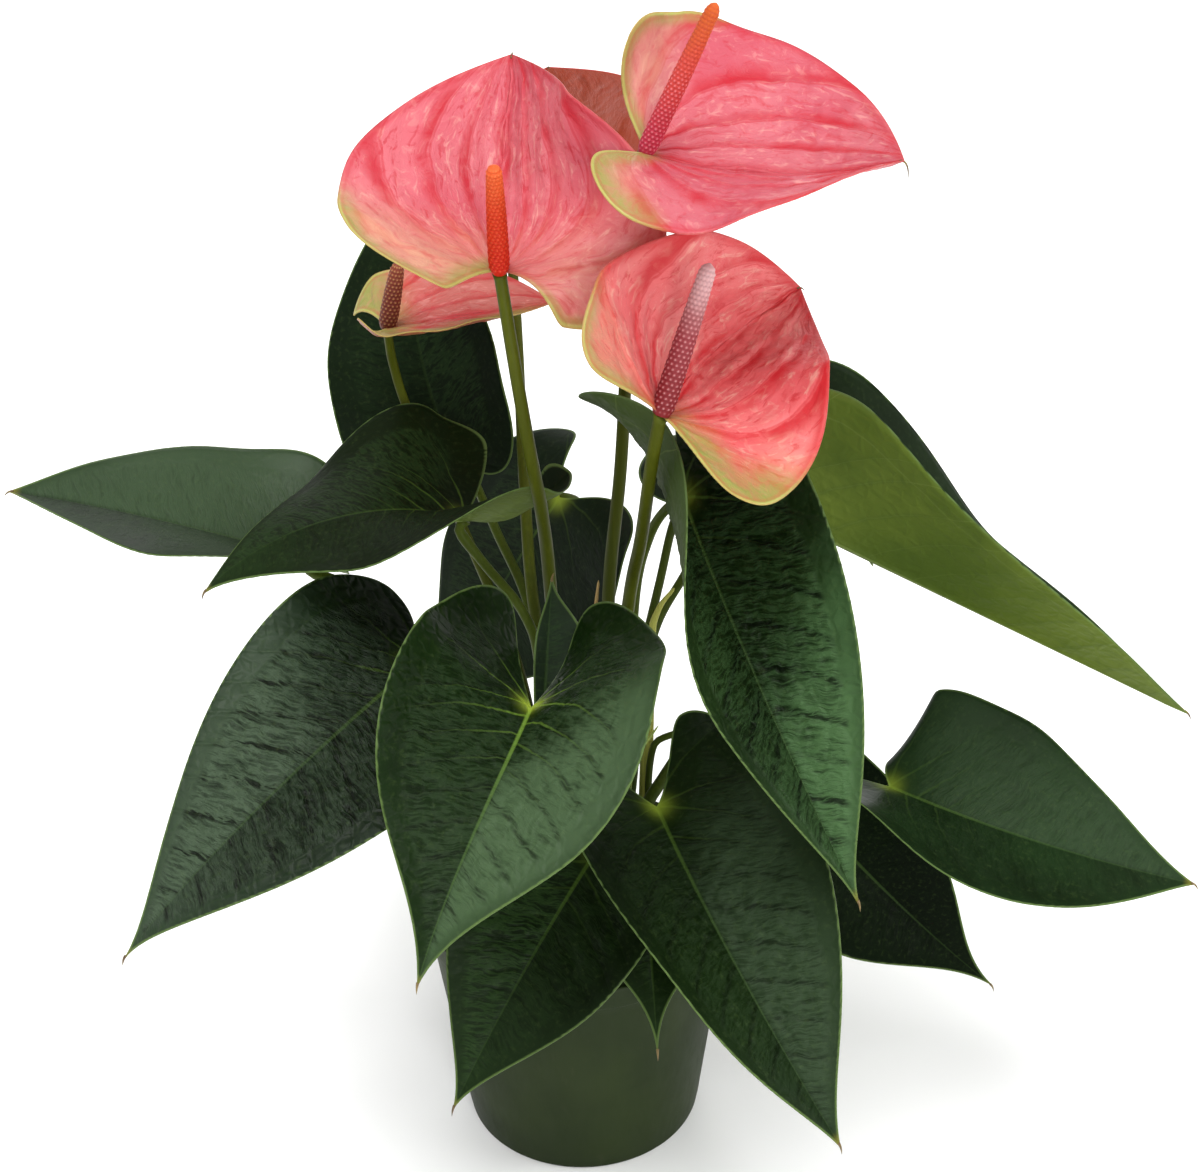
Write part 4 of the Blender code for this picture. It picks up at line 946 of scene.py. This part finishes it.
def leaf_relief(length, look, x, y, rim):
    """Rise of the upper face and extra depth of the lower face at flat points."""
    flat = np.stack([x, y], -1)
    seed = look.seed
    wander = noise_at(flat, LEAF_WANDER, seed)
    share, gap, reach = leaf_veins(x, y + 0.0018 * wander, length)
    swell = 1 - (1 - 2 * share) ** 2
    fade = share_of(np.abs(x), 0.004) * share_of(rim - 0.001, 0.005) * share_of(reach, 0.012)
    lines = np.stack([0.28 * x, y - 0.35 * np.abs(x) + 0.0012 * wander], -1)
    crease = 1 - np.abs(noise_at(lines, 330.0, seed + 7)) * 2.6
    smooth = share_of(rim - look.ring, 0.004)
    top = look.quilt * fade * (swell * (0.85 + 0.5 * wander) - 0.35)
    top += look.wrinkle * fade * smooth * (crease - 0.4)
    if look.cells > 0:
        shift = np.stack([noise_at(flat, 150.0, seed + 3), noise_at(flat, 150.0, seed + 4)], -1)
        warp = flat + 0.0012 * shift
        top += look.cells * fade * smooth * (bulges(warp * [1.0, 1.45], look.cell, seed) - 0.5)
    top -= 0.00022 * hump(x, 0.0009) * share_of(y, 0.004) * np.clip(1 - y / length, 0.2, 1)
    low = 0.00018 * hump(gap, 0.0005) * fade
    low += 0.0009 * hump(x, 0.0011) * share_of(y + 0.001, 0.004) * np.clip(1 - y / length, 0.08, 1)
    return top, low


def spathe_relief(length, look, x, y, rim):
    """Pleats along the veins: a slow rise away from each vein and a quick fall to the next."""
    flat = np.stack([x, y], -1)
    wander = noise_at(flat, SPATHE_WANDER, look.seed)
    phase = spathe_phase(x + 0.0035 * wander, y + 0.0035 * wander, length)
    saw = (phase + 0.5) % 1.0
    pleat = np.where(saw < 0.5, saw * 2, share_of(1 - (saw - 0.5) / 0.16))
    pleat = pleat * pleat * (3 - 2 * pleat)
    reach = np.sqrt(x * x + y * y)
    fade = share_of(rim - 0.0005, 0.004) * share_of(reach - 0.003, 0.010) * share_of(length - y, 0.012)
    rough = noise_at(flat, 130.0, look.seed + 7) + 0.6 * noise_at(flat, 300.0, look.seed + 9)
    top = look.quilt * fade * (pleat * (0.9 + 0.9 * wander) - 0.45 + 0.6 * rough)
    low = 0.00015 * hump(from_whole(phase), 0.08) * fade
    return top, low


def fine_blade(piece, shape, wave, look, grid, relief, mats):
    """Blade as a thin closed sheet with veins in relief on both faces and a soft thin margin."""
    rows_along, rows_lobe, columns = grid
    rows = rows_along + rows_lobe
    line = spine(shape)
    halves = []
    for hand in (0, 1):
        inner, outer, border = outline(shape, hand, rows_along, rows_lobe)
        share = np.linspace(0, 1, columns + 1) ** COLUMN_CROWD
        flat = (inner[:, None] + (outer - inner)[:, None] * share[None, :, None]).reshape(-1, 2)
        near = np.full(len(flat), 1.0)
        for start in range(0, len(border), BORDER_PART):
            part = border[start:start + BORDER_PART]
            near = np.minimum(near, np.linalg.norm(flat[:, None] - part[None], axis=2).min(1))
        moved = (flat, flat + [0, NORMAL_STEP], flat - [0, NORMAL_STEP], flat + [NORMAL_STEP, 0],
                 np.maximum(flat - [NORMAL_STEP, 0], [0, -9]))
        point, ahead, behind, out, back_in = (placed(shape, spots, hand, wave, line) for spots in moved)
        side = 1 - 2 * hand
        normal = side * np.cross(out - back_in, ahead - behind)
        normal /= np.maximum(np.linalg.norm(normal, axis=1), 1e-12)[:, None]
        x, y = side * flat[:, 0], flat[:, 1]
        rise, depth = relief(shape.length, look, x, y, near)
        thick = BLADE_THICKNESS * (EDGE_SHARE + (1 - EDGE_SHARE) * share_of(near, MARGIN_WIDTH) ** 0.7)
        halves.append((point, normal, rise, thick + depth, x, y, near))
    point, normals, rise, depth, x, y, near = (np.concatenate(part) for part in zip(*halves))
    index = np.arange(len(point)).reshape(2, rows + 1, columns + 1)
    normals = normals.reshape(2, rows + 1, columns + 1, 3)
    middle = normals[0, :rows_along + 1, 0] + normals[1, :rows_along + 1, 0]
    normals[:, :rows_along + 1, 0] = middle / np.linalg.norm(middle, axis=1)[:, None]
    normals[:, 0, :] = normals[0, 1, 0]
    normals = normals.reshape(-1, 3)
    upper = point + normals * rise[:, None]
    lower = point + normals * (rise - depth)[:, None]
    # The halves share the midrib, and the tip and the end of each lobe are one point
    index[:, 0, :] = index[0, 0, 0]
    index[1, :rows_along + 1, 0] = index[0, :rows_along + 1, 0]
    index[:, rows, :] = index[:, rows, :1]
    used, inverse = np.unique(index, return_inverse=True)
    count = len(used)
    faces, marks = [], []
    for ids in inverse.reshape(index.shape):
        quads = np.stack([ids[:-1, :-1], ids[:-1, 1:], ids[1:, 1:], ids[1:, :-1]], -1)
        for quad in quads.reshape(-1, 4).tolist():
            face = [v for k, v in enumerate(quad) if v != quad[k - 1]]
            faces += [face, [v + count for v in reversed(face)]]
            marks += [0, 1]
        for loop in (ids[:, -1].tolist(), ids[rows_along:, 0].tolist()):
            for a, b in zip(loop[:-1], loop[1:]):
                faces.append([a, b, b + count, a + count])
                marks.append(0)
    verts = np.concatenate([upper[used], lower[used]])
    attributes = {key: np.tile(values[used], 2)
                  for key, values in (("flat_x", x), ("flat_y", y), ("rim", near))}
    if look.drip > 0:
        ends = np.array([[0.0, 0.97 * shape.length], [0.0, shape.length]])
        hook = drip_hook(*placed(shape, ends, 0, wave, line), look)
        hook_faces = ring_faces(HOOK_ROWS, HOOK_SIDES)
        faces += [[v + len(verts) for v in face] for face in hook_faces]
        marks += [2] * len(hook_faces)
        verts = np.concatenate([verts, hook])
        attributes = {key: np.append(values, np.zeros(len(hook))) for key, values in attributes.items()}
        mats = [*mats, DRY_TIP]
    return new_mesh(piece, verts, faces, attributes, mats, marks)


def drip_hook(before, tip, look):
    """Points of a thin tapering spur that carries on from a blade's tip and bends down."""
    way = Vector(tip - before).normalized()
    spot = Vector(tip) - way * HOOK_OVERLAP
    side = way.orthogonal().normalized()
    verts = []
    for k in range(HOOK_ROWS + 1):
        other = way.cross(side)
        size = look.drip_size * max(0.06, 1 - k / HOOK_ROWS) ** 0.7
        verts += [spot + size * (math.cos(angle) * side + math.sin(angle) * other)
                  for angle in circle(HOOK_SIDES)]
        spot = spot + way * look.drip / HOOK_ROWS
        way = (way + Vector((0.0, 0.0, -1.0)) * look.drip_bend).normalized()
        side = (side - way * way.dot(side)).normalized()
    return np.array([tuple(v) for v in verts])


def fine_tube(piece, points, radii, mat, sides=STALK_SIDES, flatten=1.0, face=None):
    """Tube through close points, closed at both ends; its top can be cut parallel to a blade."""
    ahead = np.gradient(points, axis=0)
    ahead /= np.linalg.norm(ahead, axis=1)[:, None]
    side = np.cross(ahead[0], [0.3, 1.0, 0.1])
    side /= np.linalg.norm(side)
    verts = []
    for k, (point, way, size) in enumerate(zip(points, ahead, radii)):
        side = side - way * np.dot(side, way)
        side /= np.linalg.norm(side)
        other = np.cross(way, side)
        for angle in circle(sides):
            offset = size * (math.cos(angle) * side + flatten * math.sin(angle) * other)
            if face is not None and k == len(points) - 1:
                offset = offset - way * np.dot(offset, face) / np.dot(way, face)
            verts.append(point + offset)
    run = run_lengths(points)
    along = np.repeat(run / run[-1], sides)
    return new_mesh(piece, verts, ring_faces(len(points) - 1, sides), {"along": along}, (mat,))


def fine_stalk(name, shape, mat, knee):
    """Stalk from its hole to the underside of the blade, thicker at its knee if it has one."""
    foot, route, radius = STALKS[name]
    along, _, up = start_frame(shape)
    join = shape.at - up * BLADE_THICKNESS * 0.5
    bend = [join - up * STALK_APPROACH - along * STALK_SET_BACK] if knee else []
    points = from_hole(metres(foot), [*metres(route), *bend, join], STALK_STEP)
    run = run_lengths(points)
    from_top = run[-1] - run
    size = radius / 1000 * (STALK_FOOT + (STALK_TOP - STALK_FOOT) * run / run[-1])
    if knee:
        size = size * (1 + KNEE_SWELL * hump(from_top - KNEE_BELOW, KNEE_REACH))
    size = size * (1 + JOIN_SWELL * hump(from_top, JOIN_REACH))
    return fine_tube(name + "_stalk", points, size, mat, face=up)


def fine_sheath(name, mat, flatten):
    foot, route, radii = SHEATHS[name]
    points = from_hole(metres(foot), metres(route), SHEATH_STEP)
    run = run_lengths(points)
    sizes = np.interp(run / run[-1], np.linspace(0, 1, len(radii)), metres(radii))
    sizes[-1] *= SHEATH_TIP
    return fine_tube(name + "_scale", points, sizes, mat, SHEATH_SIDES, flatten)


def fine_spadix(name, shape, mat):
    """Spike of florets set in staggered rows, each a small dome with its dot."""
    length, radius, axis = SPADICES[name]
    length, radius = length / 1000 + SPADIX_GAP, radius / 1000
    start = Vector(shape.at - start_frame(shape)[2] * SPADIX_SUNK)
    turn = Vector(axis).normalized().to_track_quat("Z", "Y").to_matrix()
    pitch = 2 * math.pi * radius / FLORETS_AROUND * 0.92
    levels = int(length / SPADIX_STEP)
    height = np.linspace(0, length, levels + 1)
    body = np.interp(height, [0, 0.0010, 0.0025, *np.linspace(0.0055, length - 0.0030, 5),
                              length - 0.0012, length - 0.0004, length],
                     SPADIX_WIDTHS) * radius
    body = np.repeat(body[:, None], SPADIX_SIDES, 1)
    grid_z, grid_a = np.meshgrid(height, circle(SPADIX_SIDES), indexing="ij")
    row = np.round((grid_z - FLORET_START) / pitch)
    best = np.full(grid_z.shape, 9.0)
    for at_row in (row - 1, row, row + 1):
        offset = at_row * 0.5 + 0.07 * at_row
        across = (grid_a * FLORETS_AROUND / (2 * math.pi) + offset + 0.5) % 1.0 - 0.5
        across = across * 2 * math.pi * body / FLORETS_AROUND
        rise = grid_z - FLORET_START - at_row * pitch
        best = np.minimum(best, np.sqrt(across ** 2 + rise ** 2))
    dome = np.sqrt(share_of(1 - (best / (pitch * 0.60)) ** 2))
    live = share_of(grid_z - 0.0008, 0.0015) * share_of(length - grid_z, 0.0012)
    dot = share_of(1.0 - best / (pitch * 0.26)) ** 0.7 * live
    size = body + live * (FLORET_DOME * dome - FLORET_SINK + FLORET_DOT * dot)
    local = np.stack([size * np.cos(grid_a), size * np.sin(grid_a), grid_z], -1).reshape(-1, 3)
    attributes = {"along": (grid_z / length).ravel(), "dot": dot.ravel(),
                  "dip": ((1 - dome) * live).ravel()}
    return new_mesh(name + "_spike", local @ np.array(turn).T + np.array(start),
                    ring_faces(levels, SPADIX_SIDES), attributes, (mat,))


def turned_solid(piece, profile, sides, mat):
    """Closed profile of (radius, height) pairs swept round Z."""
    verts, faces, ids = [], [], []
    for r, z in profile:
        if r < 1e-9:
            ids.append([len(verts)] * sides)
            verts.append((0.0, 0.0, z))
        else:
            ids.append(list(range(len(verts), len(verts) + sides)))
            verts += [(r * math.cos(angle), r * math.sin(angle), z) for angle in circle(sides)]
    for low, high in zip(ids[:-1], ids[1:]):
        for k in range(sides):
            quad = [low[k], low[(k + 1) % sides], high[(k + 1) % sides], high[k]]
            face = [v for j, v in enumerate(quad) if v != quad[j - 1]]
            if len(face) > 2:
                faces.append(face)
    return new_mesh(piece, verts, faces, {}, (mat,))


def slant(start, end, steps, out):
    """Points on the pot's slanting wall between two heights, moved out from it."""
    return [(pot_radius(z) + out, z) for z in np.linspace(start, end, steps + 1)[1:]]


def rounding(r, z, radius, first, last, step):
    """Points on an arc round a centre at (r, z), from one angle to another."""
    return [(r + radius * math.cos(turn), z + radius * math.sin(turn))
            for turn in np.radians(range(first, last + 1, step))]


def make_pot_piece():
    collar = POT_HEIGHT - RIM_DEPTH
    neck = pot_radius(collar)
    rim = pot_radius(POT_HEIGHT) + RIM_OUT
    lip = pot_radius(POT_HEIGHT) - POT_WALL
    foot = POT_BASE_RADIUS - FOOT_ROUND
    profile = [(0.0, FOOT_RISE), (POT_BASE_RADIUS - 0.0075, FOOT_RISE), (POT_BASE_RADIUS - 0.0065, 0.0),
               (foot, 0.0), *rounding(foot, FOOT_ROUND, FOOT_ROUND, -75, 0, 15),
               *slant(FOOT_ROUND, collar - 0.0012, WALL_STEPS, 0.0),
               (neck + 0.0001, collar - 0.0006), (neck + 0.0004, collar - 0.0001),
               (neck + RIM_OUT - 0.0005, collar + 0.0001), (neck + RIM_OUT - 0.0001, collar + 0.0005),
               (neck + RIM_OUT, collar + 0.0010),
               *slant(collar + 0.0010, POT_HEIGHT - RIM_ROUND, COLLAR_STEPS, RIM_OUT),
               *rounding(rim - RIM_ROUND, POT_HEIGHT - RIM_ROUND, RIM_ROUND, 18, 90, 18),
               (lip + LIP_ROUND, POT_HEIGHT), (lip + 0.0002, POT_HEIGHT - 0.0002),
               (lip, POT_HEIGHT - LIP_ROUND),
               *slant(POT_HEIGHT - LIP_ROUND, POT_FLOOR, INNER_STEPS, -POT_WALL), (0.0, POT_FLOOR)]
    dress(turned_solid("pot_shell", profile, POT_SIDES, pot_look()), "pot", "pot")


def make_soil_piece():
    """Soil plug with crumbs, bark chips and a few white perlite grains pressed into its top."""
    edge = pot_radius(SOIL_LEVEL) - POT_WALL - SOIL_GAP
    bottom = POT_FLOOR + SOIL_GAP
    wall = pot_radius(bottom) - POT_WALL - SOIL_GAP
    verts = []
    for k in range(SOIL_RINGS + 1):
        r = edge * (k + 0.02) / (SOIL_RINGS + 0.02)
        for angle in circle(SOIL_SIDES):
            x, y = r * math.cos(angle), r * math.sin(angle)
            lump = sum(size * noise.noise(Vector((x * scale, y * scale, seed)))
                       for size, scale, seed in SOIL_LUMPS)
            verts.append((x, y, SOIL_LEVEL + lump))
    verts += [(wall * math.cos(angle), wall * math.sin(angle), bottom) for angle in circle(SOIL_SIDES)]
    faces = ring_faces(SOIL_RINGS + 1, SOIL_SIDES)
    marks = [0] * len(faces)
    draw = np.random.default_rng(SOIL_SEED)
    ball = bmesh.new()
    bmesh.ops.create_icosphere(ball, subdivisions=2, radius=1.0)
    ball_verts = np.array([v.co for v in ball.verts])
    ball_faces = [[v.index for v in f.verts] for f in ball.faces]
    ball.free()
    stalks = [metres(row[0]) for row in [*STALKS.values(), *SHEATHS.values()]] + [np.array(CROWN_AT)]
    made = 0
    while made < GRAINS:
        angle, r = draw.uniform(0, 2 * math.pi), edge * math.sqrt(draw.uniform(0, 0.92))
        spot = np.array([r * math.cos(angle), r * math.sin(angle)])
        size = draw.uniform(*GRAIN_SIZE)
        kind = 2 if draw.random() < WHITE_SHARE else 1
        shape = draw.uniform(0.45, 1.0, 3) * [1.0, 1.0, 0.6]
        turn = Matrix.Rotation(draw.uniform(0, 6.3), 3, "Z")
        tilt = turn @ Matrix.Rotation(draw.uniform(-0.4, 0.4), 3, "X")
        if min(np.linalg.norm(spot - s) for s in stalks) < size + STALK_CLEAR or r + size > edge:
            continue
        made += 1
        lumps = [1 + GRAIN_LUMPS * noise.noise(Vector(v * 1.7) + Vector((made, 0, 0))) for v in ball_verts]
        body = (ball_verts * np.array(lumps)[:, None] * shape * size) @ np.array(tilt).T
        body += [*spot, SOIL_LEVEL + size * GRAIN_RISE]
        faces += [[v + len(verts) for v in f] for f in ball_faces]
        verts += [tuple(v) for v in body]
        marks += [kind] * len(ball_faces)
    mats = (soil_look(), grain_look("bark_chip", (0.035, 0.018, 0.009), (0.11, 0.062, 0.032)),
            grain_look("perlite", (0.45, 0.42, 0.36), (0.72, 0.70, 0.64)))
    dress(new_mesh("soil_bed", verts, faces, {}, mats, marks), "soil", "soil")


def make_crown_piece():
    """Short stem base with ringed scars."""
    x0, y0 = CROWN_AT
    bottom = SOIL_LEVEL - HOLE_DEPTH + HOLE_GAP
    verts = []
    for k in range(CROWN_LEVELS + 1):
        z = bottom + (CROWN_HEIGHT - bottom) * k / CROWN_LEVELS
        over = max(0.0, (z - SOIL_LEVEL) / (CROWN_HEIGHT - SOIL_LEVEL))
        size = CROWN_RADIUS * CROWN_FOOT * (1 - CROWN_TAPER * over)
        size *= 1 + CROWN_SCAR_DEPTH * abs(math.sin(over * math.pi * CROWN_SCARS)) - 0.02
        if over > CROWN_CAP:
            size *= math.sqrt(max(0.02, 1 - ((over - CROWN_CAP) / (1 - CROWN_CAP)) ** 2))
        for angle in circle(CROWN_SIDES):
            east, north = math.cos(angle), math.sin(angle)
            lump = 1 + CROWN_LUMPS * noise.noise(Vector((east * 2, north * 2, z * 260)))
            verts.append((x0 + size * lump * east, y0 + size * lump * north, z))
    skin = fibre_look("crown_fibre", (0.050, 0.034, 0.015), (0.20, 0.16, 0.075))
    crown = new_mesh("crown_stub", verts, ring_faces(CROWN_LEVELS, CROWN_SIDES), {}, (skin,))
    dress(crown, "crown", "crown")


make_pot_piece()
make_soil_piece()
make_crown_piece()
for sheath, make_look, dark, light, flatten in (
        ("sheath_olive", stalk_look, (0.15, 0.18, 0.030), (0.38, 0.38, 0.085), 0.6),
        ("sheath_pink", stalk_look, (0.18, 0.18, 0.035), (0.44, 0.30, 0.12), 0.6),
        ("sheath_thin", stalk_look, (0.10, 0.14, 0.030), (0.20, 0.25, 0.060), 0.7),
        ("sheath_dry", fibre_look, (0.10, 0.085, 0.060), (0.36, 0.33, 0.27), 0.5)):
    dress(fine_sheath(sheath, make_look(sheath + "_skin", dark, light), flatten), sheath, sheath)

DRY_TIP = fibre_look("dry_tip", (0.0720, 0.0396, 0.0144), (0.173, 0.122, 0.0360))
PETIOLE = stalk_look("petiole_skin", (0.0274, 0.0446, 0.0036), (0.0461, 0.0662, 0.0050))
PEDUNCLE = stalk_look("peduncle_skin", (0.0302, 0.0432, 0.0022), (0.0533, 0.0634, 0.0029))
for leaf, shape in LEAVES.items():
    look = settings(LEAF_BASE, LEAF_LOOKS[leaf])
    skins = [leaf_look(leaf + "_" + face, shape, look, face == "under") for face in ("upper", "under")]
    grid = WRINKLED_GRID if leaf in WRINKLED_LEAVES else SMALL_GRID if leaf in SMALL_LEAVES else LEAF_GRID
    piece = fine_blade(leaf + "_leaf", shape, LEAF_WAVE, look, grid, leaf_relief, skins)
    dress(piece, "leaf", leaf + "_blade")
    dress(fine_stalk(leaf, shape, PETIOLE, True), "stalk", leaf + "_petiole")
for bloom, shape in SPATHES.items():
    look = settings(SPATHE_BASE, SPATHE_LOOKS[bloom])
    skins = [spathe_look(bloom + "_" + face, shape, look, face == "under") for face in ("upper", "under")]
    piece = fine_blade(bloom + "_flower", shape, SPATHE_WAVE, look, SPATHE_GRID, spathe_relief, skins)
    dress(piece, "spathe_turned" if bloom == "bloom_turned" else "spathe", bloom + "_spathe")
    dress(fine_stalk(bloom, shape, PEDUNCLE, False), "stalk", bloom + "_peduncle")
    florets = spadix_look(bloom + "_florets", settings({}, SPADIX_LOOKS[bloom]))
    dress(fine_spadix(bloom, shape, florets), bloom + "_spadix", bloom + "_spadix")

# Floor
floor_mesh = bpy.data.meshes.new("floor")
floor_mesh.from_pydata([(-4, -4, 0), (4, -4, 0), (4, 4, 0), (-4, 4, 0)], [], [[0, 1, 2, 3]])
floor = bpy.data.objects.new("floor", floor_mesh)
bpy.context.scene.collection.objects.link(floor)
paint = Look("floor_paint")
paint.base = paint.mix(paint.noise(paint.place(), 3.0), (0.94, 0.94, 0.94), (0.96, 0.96, 0.96))
floor_mesh.materials.append(paint.give(Roughness=0.9, Specular_IOR_Level=0.1))

# Light: even surroundings, a broad soft sun from above and a disc on each side of the plant
WORLD_LIGHT = 0.42
SUN_LIGHT = 3.0
SUN_FROM = (-0.10, -0.20, 1.0)
SUN_SPREAD = 38.0
# Name, place, aim, power and size
DISCS = (
    ("back", (0.1, 1.9, 1.2), (0.0, 0.0, 0.25), 9.0, 1.6),
    ("front", (0.35, -1.7, 0.80), (0.0, 0.0, 0.25), 18.0, 0.8),
    ("right", (1.4, -0.3, 1.1), (0.10, 0.0, 0.15), 14.0, 1.3),
    ("left", (-1.4, 0.1, 1.1), (-0.15, 0.0, 0.0), 6.0, 1.3),
)
world = bpy.data.worlds.new("studio")
bpy.context.scene.world = world
world.use_nodes = True
world.node_tree.nodes["Background"].inputs["Color"].default_value = (1.0, 1.0, 1.0, 1.0)
world.node_tree.nodes["Background"].inputs["Strength"].default_value = WORLD_LIGHT


def lamp(name, kind, place, target, power):
    data = bpy.data.lights.new(name, kind)
    data.energy = power
    obj = bpy.data.objects.new(name, data)
    bpy.context.scene.collection.objects.link(obj)
    obj.location = place
    obj.rotation_euler = (Vector(target) - Vector(place)).to_track_quat("-Z", "Y").to_euler()
    return data


lamp("sun", "SUN", SUN_FROM, (0.0, 0.0, 0.0), SUN_LIGHT).angle = math.radians(SUN_SPREAD)
for name, place, aim, power, size in DISCS:
    disc = lamp(name, "AREA", place, aim, power)
    disc.shape = "DISK"
    disc.size = size

# Camera: fitted to the photograph's viewpoint
CAMERA_BACK, CAMERA_UP = 0.7023, 0.6666
CAMERA_PAN, CAMERA_TILT, CAMERA_ROLL = 0.894, 31.26, -1.27
CAMERA_LENS = 69.0
pan, tilt, roll = (math.radians(a) for a in (CAMERA_PAN, CAMERA_TILT, CAMERA_ROLL))
forward = Vector((math.sin(pan) * math.cos(tilt), math.cos(pan) * math.cos(tilt), -math.sin(tilt)))
level = forward.cross(Vector((0, 0, 1))).normalized()
upright = level.cross(forward)
across = math.cos(roll) * level + math.sin(roll) * upright
upwards = math.cos(roll) * upright - math.sin(roll) * level
camera_data = bpy.data.cameras.new("camera")
camera_data.sensor_width = 36.0
camera_data.sensor_fit = "HORIZONTAL"
camera_data.lens = CAMERA_LENS
camera = bpy.data.objects.new("camera", camera_data)
bpy.context.scene.collection.objects.link(camera)
camera.matrix_world = Matrix((
    (across.x, upwards.x, -forward.x, 0.0),
    (across.y, upwards.y, -forward.y, -CAMERA_BACK),
    (across.z, upwards.z, -forward.z, CAMERA_UP),
    (0.0, 0.0, 0.0, 1.0)))
bpy.context.scene.camera = camera
bpy.context.scene.view_settings.view_transform = "Standard"
